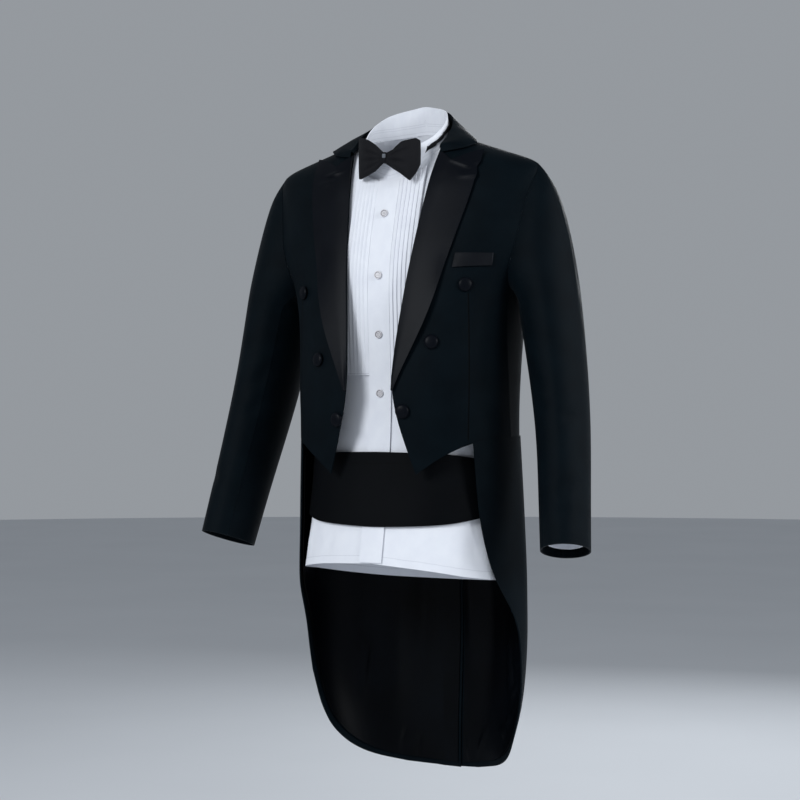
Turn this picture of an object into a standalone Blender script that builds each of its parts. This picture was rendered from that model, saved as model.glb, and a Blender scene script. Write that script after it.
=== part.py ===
"""Evening dress: a wool tailcoat with satin peak lapels, worn over a pleated white
shirt with a wing collar, a cummerbund and a bow tie.

The pieces are those that a tailor cuts and sews. Each is a thin wall of cloth on a
hollow figure form. Metres, +Z up, the wearer faces -Y and the wearer's left is +X.
The origin lies on the middle plane at the height of the side of the neck.
"""
import math
from collections import namedtuple

import bmesh
import bpy
from mathutils import Vector

for old in list(bpy.data.objects):
    bpy.data.objects.remove(old, do_unlink=True)

# Cloth thicknesses and clearances
WOOL = 0.0020
SATIN = 0.0018
LINING = 0.0010
COTTON = 0.0012
SEAM = 0.00034
LAID = 0.0010
LINING_GAP = 0.0014
LAPEL_GAP = 0.0022
COLLAR_GAP = 0.0028

# Driving sizes
WAIST_SIDE = -0.466
WAIST_BACK = -0.460
HEM = -1.005
COAT_BUTTON = 0.022
SHIRT_BUTTON = 0.0118
PLACKET = 0.037
TUCKS = 6
TUCK_PITCH = 0.0067
TUCK_RISE = 0.0011
BAND_WIDTH = 0.0075
CUFF_LENGTH = 0.058
CUFF_SET_BACK = 0.012
VENT_LAP = 0.030

# A horizontal section of a form. Front, side and back are the places along Y of its
# foremost, widest and rearmost points. Square is the power of its superellipse.
Section = namedtuple("Section", "height half_width front side back square")

COAT_SECTIONS = [
    Section(-1.020, 0.1430, -0.110, 0.000, 0.123, 2.10),
    Section(-0.980, 0.1530, -0.115, 0.000, 0.122, 2.10),
    Section(-0.940, 0.1650, -0.120, 0.000, 0.122, 2.10),
    Section(-0.890, 0.1790, -0.126, 0.000, 0.125, 2.10),
    Section(-0.840, 0.1860, -0.130, 0.000, 0.128, 2.10),
    Section(-0.780, 0.1880, -0.132, 0.000, 0.130, 2.15),
    Section(-0.700, 0.1870, -0.134, 0.000, 0.128, 2.15),
    Section(-0.600, 0.1840, -0.136, 0.000, 0.123, 2.20),
    Section(-0.522, 0.1810, -0.139, 0.000, 0.114, 2.25),
    Section(-0.480, 0.1790, -0.143, 0.000, 0.108, 2.25),
    Section(-0.434, 0.1775, -0.146, 0.000, 0.105, 2.30),
    Section(-0.395, 0.1780, -0.147, 0.000, 0.106, 2.35),
    Section(-0.335, 0.1790, -0.139, 0.000, 0.111, 2.50),
    Section(-0.280, 0.1820, -0.130, 0.000, 0.117, 2.60),
    Section(-0.238, 0.1880, -0.123, 0.000, 0.122, 2.60),
    Section(-0.200, 0.2100, -0.115, 0.000, 0.124, 2.40),
    Section(-0.160, 0.2280, -0.105, 0.000, 0.124, 2.25),
    Section(-0.118, 0.2320, -0.093, -0.003, 0.119, 2.10),
    Section(-0.080, 0.2305, -0.082, -0.008, 0.110, 1.95),
    Section(-0.062, 0.2275, -0.075, -0.011, 0.104, 1.85),
    Section(-0.049, 0.2190, -0.070, -0.013, 0.099, 1.76),
    Section(-0.040, 0.1995, -0.066, -0.013, 0.095, 1.72),
    Section(-0.034, 0.1820, -0.064, -0.013, 0.092, 1.70),
    Section(-0.020, 0.1410, -0.059, -0.012, 0.083, 1.70),
    Section(-0.008, 0.1060, -0.054, -0.011, 0.074, 1.80),
    Section(0.000, 0.0840, -0.050, -0.010, 0.068, 1.90),
    Section(0.010, 0.0720, -0.047, -0.010, 0.063, 2.00),
]

SHIRT_SECTIONS = [
    Section(-0.720, 0.1760, -0.143, 0.000, 0.114, 2.10),
    Section(-0.660, 0.1745, -0.139, 0.000, 0.111, 2.10),
    Section(-0.600, 0.1650, -0.127, 0.000, 0.105, 2.10),
    Section(-0.520, 0.1570, -0.114, 0.000, 0.098, 2.15),
    Section(-0.450, 0.1560, -0.106, 0.000, 0.095, 2.20),
    Section(-0.400, 0.1580, -0.105, 0.000, 0.096, 2.25),
    Section(-0.310, 0.1660, -0.109, 0.000, 0.104, 2.30),
    Section(-0.240, 0.1740, -0.112, 0.000, 0.110, 2.30),
    Section(-0.200, 0.1900, -0.109, 0.000, 0.113, 2.20),
    Section(-0.160, 0.2080, -0.100, 0.000, 0.113, 2.05),
    Section(-0.118, 0.2130, -0.089, -0.003, 0.108, 1.90),
    Section(-0.080, 0.2120, -0.0770, -0.008, 0.099, 1.75),
    Section(-0.055, 0.2040, -0.072, -0.012, 0.087, 1.65),
    Section(-0.042, 0.1640, -0.064, -0.013, 0.079, 1.65),
    Section(-0.028, 0.1230, -0.056, -0.013, 0.069, 1.70),
    Section(-0.016, 0.0920, -0.050, -0.013, 0.062, 1.85),
    Section(-0.004, 0.0700, -0.046, -0.013, 0.057, 2.00),
    Section(0.018, 0.0590, -0.043, -0.013, 0.051, 2.00),
]

# Edges seen from the front: height and distance across from the middle plane
Edge = namedtuple("Edge", "height across")

FRONT_EDGE = [
    Edge(-0.522, 0.0730),
    Edge(-0.480, 0.0590),
    Edge(-0.434, 0.0455),
    Edge(-0.395, 0.0380),
    Edge(-0.340, 0.0405),
    Edge(-0.280, 0.0460),
    Edge(-0.180, 0.0570),
    Edge(-0.100, 0.0660),
    Edge(-0.045, 0.0730),
    Edge(-0.020, 0.0765),
    Edge(0.000, 0.0800),
]

FRONT_HEM = [
    Edge(-0.5220, 0.0730),
    Edge(-0.5095, 0.0900),
    Edge(-0.4960, 0.1090),
    Edge(-0.4800, 0.1370),
    Edge(-0.4755, 0.1480),
]

LAPEL_ROLL = [
    Edge(-0.395, 0.0385),
    Edge(-0.340, 0.0408),
    Edge(-0.280, 0.0463),
    Edge(-0.180, 0.0573),
    Edge(-0.100, 0.0663),
    Edge(-0.045, 0.0733),
    Edge(-0.028, 0.0762),
]

LAPEL_EDGE = [
    Edge(-0.3965, 0.0415),
    Edge(-0.370, 0.0520),
    Edge(-0.340, 0.0655),
    Edge(-0.278, 0.0905),
    Edge(-0.170, 0.1190),
    Edge(-0.0835, 0.1395),
    Edge(-0.0310, 0.1430),
]

GORGE = [
    Edge(-0.0280, 0.0762),
    Edge(-0.0462, 0.0985),
    Edge(-0.0330, 0.1285),
    Edge(-0.0310, 0.1430),
]

# Seams on the form: angle round from the middle of the front, in degrees, and height
Seam = namedtuple("Seam", "angle height")

SIDE_SEAM = [
    Seam(85.0, WAIST_SIDE),
    Seam(84.0, -0.400),
    Seam(81.5, -0.320),
    Seam(78.0, -0.238),
]

ARMHOLE_FRONT = [
    Seam(78.0, -0.238),
    Seam(70.0, -0.222),
    Seam(64.5, -0.195),
    Seam(62.5, -0.158),
    Seam(65.0, -0.116),
    Seam(73.5, -0.075),
    Seam(90.0, -0.050),
]

ARMHOLE_UNDER = [
    Seam(78.0, -0.238),
    Seam(91.0, -0.241),
    Seam(103.0, -0.222),
    Seam(112.0, -0.190),
]

ARMHOLE_BACK = [
    Seam(112.0, -0.190),
    Seam(116.0, -0.152),
    Seam(115.0, -0.112),
    Seam(107.0, -0.076),
    Seam(90.0, -0.050),
]

BACK_SEAM = [
    Seam(166.0, WAIST_BACK),
    Seam(156.0, -0.400),
    Seam(141.0, -0.320),
    Seam(125.0, -0.250),
    Seam(112.0, -0.190),
]

TAIL_SEAM = [
    Seam(155.0, -1.0015),
    Seam(156.0, -0.880),
    Seam(159.0, -0.700),
    Seam(163.0, -0.560),
    Seam(166.0, WAIST_BACK),
]

WAIST_SEAM = [
    Seam(54.2, -0.4750),
    Seam(64.0, -0.4685),
    Seam(85.0, WAIST_SIDE),
    Seam(125.0, -0.4645),
    Seam(166.0, WAIST_BACK),
]

TAIL_FRONT = [
    Seam(96.5, -0.885),
    Seam(93.0, -0.843),
    Seam(90.0, -0.800),
    Seam(88.0, -0.765),
    Seam(83.0, -0.738),
    Seam(74.0, -0.708),
    Seam(66.0, -0.6855),
    Seam(56.5, -0.595),
    Seam(54.2, -0.4750),
]

TAIL_CORNER = [
    Seam(96.5, -0.885),
    Seam(99.0, -0.913),
    Seam(103.5, -0.940),
    Seam(116.0, -0.970),
    Seam(133.0, -0.990),
    Seam(155.0, -1.0015),
]

# The shirt's collar band: its seam on the shirt and its upper edge, a tilted ring.
# Angle runs round the neck from the front; foot_angle is the place on the shirt's form.
NeckRing = namedtuple("NeckRing", "angle foot_angle foot_height high")
NECK_RADIUS = 0.0645
NECK_FORWARD = -0.018
NECK_RINGS = [
    NeckRing(0.0, 0.0, -0.0690, -0.0290),
    NeckRing(20.0, 6.0, -0.0650, -0.0265),
    NeckRing(38.0, 12.5, -0.0560, -0.0200),
    NeckRing(56.0, 23.0, -0.0420, -0.0110),
    NeckRing(74.0, 42.0, -0.0230, 0.0020),
    NeckRing(92.0, 84.0, -0.0040, 0.0175),
    NeckRing(135.0, 135.0, 0.0080, 0.0460),
    NeckRing(180.0, 180.0, 0.0150, 0.0585),
]

# The coat's turned-down collar, from the middle of the back to the gorge: its foot and
# fold as places, and its outer edge as a point of the coat's form
CollarRow = namedtuple("CollarRow", "foot fold edge_angle edge_height")
COAT_COLLAR = [
    CollarRow((0.0000, 0.0590, 0.0120), (0.0000, 0.0600, 0.0460), 180.0, -0.0060),
    CollarRow((0.0415, 0.0430, 0.0105), (0.0420, 0.0445, 0.0400), 142.0, -0.0070),
    CollarRow((0.0640, 0.0160, 0.0080), (0.0650, 0.0160, 0.0290), 114.0, -0.0090),
    CollarRow((0.0745, -0.0120, 0.0030), (0.0760, -0.0120, 0.0130), 92.0, -0.0110),
    CollarRow((0.0750, -0.0310, -0.0090), (0.0780, -0.0325, -0.0020), 68.0, -0.0185),
    CollarRow((0.0745, -0.0440, -0.0180), (0.0775, -0.0465, -0.0120), 47.5, -0.0262),
    CollarRow((0.0742, -0.0535, -0.0235), (0.0768, -0.0560, -0.0180), 30.4, -0.0308),
]

# The sleeve below its cap: centre, half sizes across and fore and aft
SleeveRing = namedtuple("SleeveRing", "height across forward half_across half_deep")
SLEEVE_RINGS = [
    SleeveRing(-0.270, 0.2385, -0.0030, 0.0480, 0.0650),
    SleeveRing(-0.345, 0.2505, -0.0080, 0.0455, 0.0640),
    SleeveRing(-0.410, 0.2610, -0.0175, 0.0430, 0.0615),
    SleeveRing(-0.480, 0.2720, -0.0340, 0.0405, 0.0570),
    SleeveRing(-0.550, 0.2815, -0.0540, 0.0390, 0.0530),
    SleeveRing(-0.632, 0.2925, -0.0770, 0.0376, 0.0500),
]
SLEEVE_TURN = 12.0

# Grid counts
SIDE_ROWS = 6
ARM_FRONT_ROWS = 9
ARM_UNDER_COLS = 5
ARM_BACK_ROWS = 9
FRONT_COLS = 9
BACK_COLS = 6
TAIL_ROWS = 11
SKIRT_COLS = 12
LAPEL_ROWS = 14
CAP_ROWS = 5
ARM_ROWS = 8
FRONT_SLEEVE_SEAM = 9
BACK_SLEEVE_SEAM = 16


def material(name, colour, roughness, sheen=0.0):
    """A plain surface for a piece, with its colour and gloss."""
    made = bpy.data.materials.get(name)
    if made:
        return made
    made = bpy.data.materials.new(name)
    made.use_nodes = True
    surface = made.node_tree.nodes["Principled BSDF"]
    surface.inputs["Base Color"].default_value = (*colour, 1.0)
    surface.inputs["Roughness"].default_value = roughness
    surface.inputs["Metallic"].default_value = 0.0
    surface.inputs["Sheen Weight"].default_value = sheen
    return made


def wool():
    return material("black_wool", (0.006, 0.009, 0.012), 0.85, 0.3)


def satin():
    return material("black_satin", (0.014, 0.015, 0.019), 0.35)


def lining_cloth():
    return material("black_lining", (0.008, 0.009, 0.011), 0.4)


def cotton():
    return material("white_cotton", (0.80, 0.82, 0.85), 0.8, 0.1)


def pearl():
    return material("white_button", (0.85, 0.86, 0.87), 0.3)


def between(rows, key, column, at):
    """Smooth value of a table's column, with no overshoot between its rows."""
    rows = sorted(rows, key=lambda row: getattr(row, key))
    keys = [getattr(row, key) for row in rows]
    values = [getattr(row, column) for row in rows]
    at = min(max(at, keys[0]), keys[-1])
    steps = [(values[i + 1] - values[i]) / (keys[i + 1] - keys[i]) for i in range(len(keys) - 1)]
    slopes = [steps[0]]
    for before, after in zip(steps, steps[1:]):
        slopes.append(0.0 if before * after <= 0.0 else 2.0 * before * after / (before + after))
    slopes.append(steps[-1])
    index = 0
    while index < len(keys) - 2 and at > keys[index + 1]:
        index += 1
    span = keys[index + 1] - keys[index]
    t = (at - keys[index]) / span
    rise = (values[index + 1] * t * t * (3.0 - 2.0 * t)
            + values[index] * (1.0 - t) ** 2 * (1.0 + 2.0 * t))
    return rise + span * t * (1.0 - t) * (slopes[index] * (1.0 - t) - slopes[index + 1] * t)


class Form:
    """A hollow figure form, read from its table of horizontal sections."""

    def __init__(self, sections):
        self.sections = sections

    def value(self, column, height):
        return between(self.sections, "height", column, height)

    def point(self, angle, height):
        turn = math.radians(angle)
        bend = 2.0 / self.value("square", height)
        sine, cosine = math.sin(turn), math.cos(turn)
        side = self.value("side", height)
        reach = self.value("front" if cosine > 0.0 else "back", height) - side
        x = self.value("half_width", height) * math.copysign(abs(sine) ** bend, sine)
        return Vector((x, side + reach * abs(cosine) ** bend, height))

    def angle(self, across, height):
        """The angle at which the form's front is a given distance from the middle."""
        share = min(abs(across) / self.value("half_width", height), 1.0)
        turn = math.degrees(math.asin(share ** (self.value("square", height) / 2.0)))
        return math.copysign(turn, across)

    def seam(self, edge):
        return Seam(self.angle(edge.across, edge.height), edge.height)


COAT = Form(COAT_SECTIONS)
SHIRT = Form(SHIRT_SECTIONS)
# One degree round the form is about this far
ANGLE_SPAN = 0.0025


def sample(points, count, angle_span=ANGLE_SPAN):
    """Even steps along a smooth curve through angle and height points."""
    fine = []
    last = len(points) - 1
    for index in range(last):
        p0, p1, p2, p3 = (points[max(index - 1, 0)], points[index],
                          points[index + 1], points[min(index + 2, last)])
        for step in range(16):
            t = step / 16.0
            weights = (-0.5 * t + t * t - 0.5 * t ** 3, 1.0 - 2.5 * t * t + 1.5 * t ** 3,
                       0.5 * t + 2.0 * t * t - 1.5 * t ** 3, -0.5 * t * t + 0.5 * t ** 3)
            fine.append(tuple(sum(w * p[k] for w, p in zip(weights, (p0, p1, p2, p3)))
                              for k in range(2)))
    fine.append(tuple(points[-1]))
    lengths = [0.0]
    for a, b in zip(fine, fine[1:]):
        lengths.append(lengths[-1] + math.hypot((b[0] - a[0]) * angle_span, b[1] - a[1]))
    out = []
    for step in range(count + 1):
        aim = lengths[-1] * step / count
        index = 0
        while index < len(lengths) - 2 and lengths[index + 1] < aim:
            index += 1
        share = (aim - lengths[index]) / max(lengths[index + 1] - lengths[index], 1e-12)
        out.append(tuple(fine[index][k] + (fine[index + 1][k] - fine[index][k]) * share
                         for k in range(2)))
    return out


def patch(bottom, top, left, right, fade=1.0):
    """A grid of angle and height points between four edges that share corners.
    A high fade keeps the shapes of the lower and upper edges close to them."""
    rows, cols = len(left) - 1, len(bottom) - 1

    def shares(line):
        """How far along each point of an edge lies, by angle."""
        span = line[-1][0] - line[0][0]
        if abs(span) < 1e-6:
            return [j / cols for j in range(cols + 1)]
        return [(place[0] - line[0][0]) / span for place in line]

    def bow(line, j):
        """How far an edge rises over the straight line between its ends."""
        return line[j][1] - line[0][1] - (line[-1][1] - line[0][1]) * j / cols

    low, high = shares(bottom), shares(top)
    grid = []
    for i in range(rows + 1):
        up, down = (i / rows) ** fade, (1.0 - i / rows) ** fade
        row = []
        for j in range(cols + 1):
            even = j / cols
            along = even + (high[j] - even) * up + (low[j] - even) * down
            row.append((left[i][0] + (right[i][0] - left[i][0]) * along,
                        left[i][1] + (right[i][1] - left[i][1]) * even
                        + bow(top, j) * up + bow(bottom, j) * down))
        grid.append(row)
    return grid


def on_form(form, grid):
    return [[form.point(angle, height) for angle, height in row] for row in grid]


def normal_at(form, angle, height):
    """The outward normal of a form."""
    step = 0.5
    along = form.point(angle + step, height) - form.point(angle - step, height)
    up = form.point(angle, height + 0.004) - form.point(angle, height - 0.004)
    normal = along.cross(up).normalized()
    place = form.point(angle, height)
    return normal if normal.dot(place - body_core(place)) > 0.0 else -normal


def laid(form, grid, out):
    """Points at a distance out from the form, from a grid of angle and height."""
    return [[form.point(*place) + normal_at(form, *place) * out for place in row]
            for row in grid]


def level_edge(outer, inner, thickness):
    """Take the wall's thickness straight down along its top, as at a shoulder seam."""
    inner[-1] = [point - Vector((0.0, 0.0, thickness)) for point in outer[-1]]


def shifted(points, turn=0.0, rise=0.0):
    """The same edge moved round by an angle and up by a height."""
    return [(angle + turn, height + rise) for angle, height in points]


def normals(grid, inside, closed=False):
    """A unit normal for each grid point, away from the inside point of its row."""
    rows, cols = len(grid), len(grid[0])
    out = []
    for i in range(rows):
        line = []
        for j in range(cols):
            if closed:
                along = grid[i][(j + 1) % cols] - grid[i][j - 1]
            else:
                along = grid[i][min(j + 1, cols - 1)] - grid[i][max(j - 1, 0)]
            up = grid[min(i + 1, rows - 1)][j] - grid[max(i - 1, 0)][j]
            normal = along.cross(up)
            line.append(normal.normalized() if normal.length > 1e-14 else Vector((0, 0, 0)))
        out.append(line)
    total = sum(out[i][j].dot(grid[i][j] - inside(grid[i][j]))
                for i in range(rows) for j in range(cols))
    if total < 0.0:
        out = [[-normal for normal in line] for line in out]
    return out


def body_core(point):
    """A point inside the figure, below the cloth that it is asked for."""
    return Vector((0.0, 0.0, point.z - 0.25))


def moved(grid, distance, inside=body_core, closed=False):
    """The grid moved out along its normals, or in when the distance is negative.
    The distance is a number, or a function of row and column."""
    away = normals(grid, inside, closed)
    step = distance if callable(distance) else lambda i, j: distance
    return [[grid[i][j] + away[i][j] * step(i, j) for j in range(len(grid[0]))]
            for i in range(len(grid))]


def finish(name, mesh, surface):
    """Name the closed mesh, turn its faces outward and put it in the scene."""
    bmesh.ops.recalc_face_normals(mesh, faces=mesh.faces)
    data = bpy.data.meshes.new(name)
    mesh.to_mesh(data)
    mesh.free()
    data.materials.append(surface)
    data.shade_smooth()
    data.set_sharp_from_angle(angle=math.radians(50))
    thing = bpy.data.objects.new(name, data)
    bpy.context.collection.objects.link(thing)
    return thing


def wall(name, outer, inner, surface, side=1, closed=False, cells=None):
    """A closed solid between two grids of the same size.
    Side -1 mirrors it. Cells picks which grid cells are cloth."""
    rows, cols = len(outer), len(outer[0])
    mesh = bmesh.new()
    skins = []
    for grid in (outer, inner):
        skins.append([[None] * cols for _ in range(rows)])
    span = cols if closed else cols - 1
    used = [(i, j) for i in range(rows - 1) for j in range(span)
            if cells is None or cells(i, j)]
    border = {}

    def corner(skin, i, j):
        j %= cols
        if skins[skin][i][j] is None:
            point = (outer, inner)[skin][i][j]
            skins[skin][i][j] = mesh.verts.new((point.x * side, point.y, point.z))
        return skins[skin][i][j]

    for i, j in used:
        loop = [(i, j), (i, (j + 1) % cols), (i + 1, (j + 1) % cols), (i + 1, j)]
        for skin in (0, 1):
            a, b, c, d = (corner(skin, *place) for place in loop)
            mesh.faces.new((a, b, c) if skin == 0 else (c, b, a))
            mesh.faces.new((a, c, d) if skin == 0 else (d, c, a))
        for start, end in zip(loop, loop[1:] + loop[:1]):
            if (end, start) in border:
                del border[(end, start)]
            else:
                border[(start, end)] = True
    for start, end in border:
        a, b = corner(0, *start), corner(0, *end)
        c, d = corner(1, *end), corner(1, *start)
        mesh.faces.new((b, a, d))
        mesh.faces.new((b, d, c))
    return finish(name, mesh, surface)


def cloth(name, grid, thickness, surface, side=1, out=0.0, closed=False, inside=body_core,
          level_top=False):
    """A wall of cloth under its outer points, laid out from them by a distance."""
    outer = moved(grid, out, inside, closed) if out else grid
    inner = moved(grid, out - thickness, inside, closed)
    if level_top:
        level_edge(outer, inner, thickness)
    return wall(name, outer, inner, surface, side, closed)


def both_sides(build):
    """Make a piece for the wearer's left and its mirror for the right."""
    for side, mark in ((1, "L"), (-1, "R")):
        build(side, mark)


# Seam points shared by the pieces that meet there, bottom to top
SIDE_LINE = sample(SIDE_SEAM, SIDE_ROWS)
BACK_LINE = sample(BACK_SEAM, SIDE_ROWS)
ARM_FRONT_LINE = sample(ARMHOLE_FRONT, ARM_FRONT_ROWS)
ARM_UNDER_LINE = sample(ARMHOLE_UNDER, ARM_UNDER_COLS)
ARM_BACK_LINE = sample(ARMHOLE_BACK, ARM_BACK_ROWS)
TAIL_LINE = sample(TAIL_SEAM, TAIL_ROWS)
HALF_SEAM = math.degrees(SEAM * 0.6 / 0.12)
RIDGE_GAP = 0.16


def front_panel():
    """Wool front from the cut-away edge to the side seam and armhole."""
    side_rows = SIDE_LINE + ARM_FRONT_LINE[1:]
    side_edge = shifted(side_rows, -HALF_SEAM)
    edge = sample([COAT.seam(row) for row in FRONT_EDGE[:-1]] + [Seam(90.0 - RIDGE_GAP, 0.0)],
                  len(side_rows) - 1)
    waist = [COAT.seam(row) for row in FRONT_HEM] + [Seam(64.0, -0.4685), Seam(85.0, WAIST_SIDE)]
    hem = sample(waist, FRONT_COLS)
    shoulder = [(90.0 - RIDGE_GAP, edge[-1][1] + (side_edge[-1][1] - edge[-1][1]) * j / FRONT_COLS)
                for j in range(FRONT_COLS + 1)]
    edge[-1], hem[0] = shoulder[0], edge[0]
    side_edge[0], side_edge[-1] = (side_edge[0][0], hem[-1][1]), shoulder[-1]
    hem[-1] = side_edge[0]
    return patch(hem, shoulder, edge, side_edge, 3.0)


def side_panel():
    """Wool side body between the side seam, the back seam and the waist."""
    left = shifted(SIDE_LINE, HALF_SEAM)
    right = shifted(BACK_LINE, -HALF_SEAM)
    top = list(ARM_UNDER_LINE)
    waist = sample(WAIST_SEAM[2:], ARM_UNDER_COLS)
    top[0], top[-1] = left[-1], right[-1]
    waist[0], waist[-1] = left[0], right[0]
    return on_form(COAT, patch(waist, top, left, right))


def back_panel(side):
    """Wool back from neck to hem. Below the waist the right edge laps under the left."""
    left = shifted(TAIL_LINE + BACK_LINE[1:] + ARM_BACK_LINE[1:], HALF_SEAM)
    neck = 0.0060
    shoulder_cols = BACK_COLS // 2
    top = [(90.0 + RIDGE_GAP, left[-1][1] * (1.0 - j / shoulder_cols))
           for j in range(shoulder_cols + 1)]
    top += [(90.0 + 90.0 * j / (BACK_COLS - shoulder_cols), neck * j / (BACK_COLS - shoulder_cols))
            for j in range(1, BACK_COLS - shoulder_cols + 1)]
    left[-1] = top[0]
    middle = sample([Seam(180.0, HEM), Seam(180.0, WAIST_BACK)], TAIL_ROWS)
    middle += sample([Seam(180.0, WAIST_BACK), Seam(180.0, neck)],
                     SIDE_ROWS + ARM_BACK_ROWS)[1:]
    hem = sample([Seam(*left[0]), Seam(168.0, -1.0040), Seam(180.0, HEM)], BACK_COLS)
    hem[0], hem[-1], middle[0] = left[0], (180.0, HEM), (180.0, HEM)
    places = patch(hem, top, left, middle, 2.0)
    outer, inner = laid(COAT, places, 0.0), laid(COAT, places, -WOOL)
    lap = Vector((0.0, -WOOL - LAID, 0.0))
    for i, (row, back) in enumerate(zip(outer, inner)):
        vent = i < TAIL_ROWS
        for point in row + back:
            point.x = max(point.x, SEAM / 2.0)
        if side > 0:
            row[-1].x = back[-1].x = -0.002 if vent else SEAM / 2.0
            continue
        base = row[-1].copy()
        row[-1].x = back[-1].x = 0.004 if vent else SEAM / 2.0
        if vent:
            gather = 0.012
            for line in (row, back):
                line[-1] += lap
                line[-2].x = max(line[-2].x, gather)
        for reach in (0.5 * VENT_LAP, VENT_LAP):
            point = COAT.point(180.0 - COAT.angle(reach, base.z), base.z)
            row.append(Vector((-reach, point.y, point.z)) + lap)
            back.append(Vector((-reach, point.y - WOOL, point.z)) + lap)
    level_edge(outer, inner, WOOL)
    return outer, inner


def skirt_panel():
    """Wool tail hung from the waist seam, with its front cut back to a round corner."""
    right = shifted(TAIL_LINE, -HALF_SEAM)
    top = shifted(sample(WAIST_SEAM, SKIRT_COLS), 0.0, -1.6 * SEAM)
    left = sample(TAIL_FRONT, TAIL_ROWS)
    bottom = sample(TAIL_CORNER, SKIRT_COLS)
    left[0], left[-1] = bottom[0], top[0]
    right[0] = (right[0][0], bottom[-1][1])
    bottom[-1] = right[0]
    right[-1] = (right[-1][0], top[-1][1])
    top[-1] = right[-1]
    return patch(bottom, top, left, right)


def tail_lining(side):
    """Satin lining of a tail, seen from the front between the tails."""
    inset = 3.0

    def middle(height):
        across = 0.0345 if side > 0 else -0.026
        return 180.0 - COAT.angle(across, height)

    low = 0.008
    top_height = -0.500
    left = sample([Seam(row.angle + inset, min(row.height, top_height) + 0.006 * (i < 3))
                   for i, row in enumerate(TAIL_FRONT)], TAIL_ROWS)
    bottom = sample([Seam(row.angle + inset, row.height + low) for row in TAIL_CORNER[:-1]]
                    + [Seam(157.0, HEM + 1.6 * low), Seam(middle(HEM), HEM + low)], SKIRT_COLS)
    right = sample([Seam(middle(height), height) for height in
                    (HEM + low, -0.940, -0.860, -0.700, top_height)], TAIL_ROWS)
    left[0], right[0] = bottom[0], bottom[-1]
    top = [(left[-1][0] + (right[-1][0] - left[-1][0]) * j / SKIRT_COLS, top_height)
           for j in range(SKIRT_COLS + 1)]
    left[-1] = top[0]
    return patch(bottom, top, left, right)


def build_coat_body():
    front_places, flank, skirt = front_panel(), side_panel(), skirt_panel()
    front, front_back = laid(COAT, front_places, 0.0), laid(COAT, front_places, -WOOL)
    level_edge(front, front_back, WOOL)

    def one_side(side, mark):
        wall("coat_front_" + mark, front, front_back, wool(), side)
        cloth("coat_side_" + mark, flank, WOOL, wool(), side)
        wall("coat_skirt_" + mark, laid(COAT, skirt, 0.0), laid(COAT, skirt, -WOOL), wool(), side)
        outer, inner = back_panel(side)
        wall("coat_back_" + mark, outer, inner, wool(), side,
             cells=lambda i, j: j < BACK_COLS or i < TAIL_ROWS - 1)
        inside = WOOL + LINING_GAP + (0.0 if side > 0 else WOOL + 0.4 * LAID)
        facing = tail_lining(side)
        wall("tail_lining_" + mark, laid(COAT, facing, -inside),
             laid(COAT, facing, -inside - LINING), lining_cloth(), side)

    both_sides(one_side)


def on_front(form, grid):
    """Points of a form's front for a grid of across and height."""
    return [[form.point(form.angle(across, height), height) for across, height in row]
            for row in grid]


def flat_line(rows, count):
    """Even steps along an edge, as across and height."""
    return sample([(row.across, row.height) for row in rows], count, 1.0)


def lapel_grid():
    """Peak lapel between its roll line, outer edge and gorge."""
    roll = flat_line(LAPEL_ROLL, LAPEL_ROWS)
    edge = flat_line(LAPEL_EDGE, LAPEL_ROWS)
    corners = [(row.across, row.height) for row in GORGE]
    middle = tuple((corners[0][k] + corners[1][k]) / 2.0 for k in range(2))
    top = [corners[0], middle, corners[1], corners[2], corners[3]]
    cols = len(top) - 1
    bottom = [tuple(roll[0][k] + (edge[0][k] - roll[0][k]) * j / cols for k in range(2))
              for j in range(cols + 1)]
    roll[-1], edge[-1] = top[0], top[-1]
    return on_front(COAT, patch(bottom, top, roll, edge, 4.0))


def build_lapels():
    grid = lapel_grid()
    cols = len(grid[0]) - 1

    def lift(i, j):
        """The soft roll: the lapel stands off the chest along its lower outer edge."""
        height = i / LAPEL_ROWS
        belly = math.sin(math.pi * min(height / 0.62, 1.0)) ** 2
        rest = LAPEL_GAP if j else 0.0007
        peak = 0.0016 * max(height - 0.8, 0.0) / 0.2
        return SATIN + rest + peak * (j > 0) + 0.0045 * belly * (j / cols) ** 1.5

    outer = moved(grid, lift)
    inner = moved(grid, lambda i, j: lift(i, j) - SATIN)
    both_sides(lambda side, mark: wall("lapel_" + mark, outer, inner, satin(), side))


def build_welt():
    """Satin breast welt on the wearer's left, beside the lapel."""
    top_height, low_height = -0.1895, -0.2110
    inner_end, outer_end = 0.1235, 0.1755
    slant = 0.003
    cols = 5
    rows = []
    for share in (0.0, 1.0):
        height = low_height + (top_height - low_height) * share
        line = []
        for j in range(cols + 1):
            along = j / cols
            across = inner_end + (outer_end - inner_end) * along - 0.003 * (1.0 - share)
            line.append(COAT.seam(Edge(height + slant * along * (1.0 - share), across)))
        rows.append(line)
    cloth("breast_welt", on_form(COAT, rows), 0.0016, satin(), 1, out=0.0016 + LAID)


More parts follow.
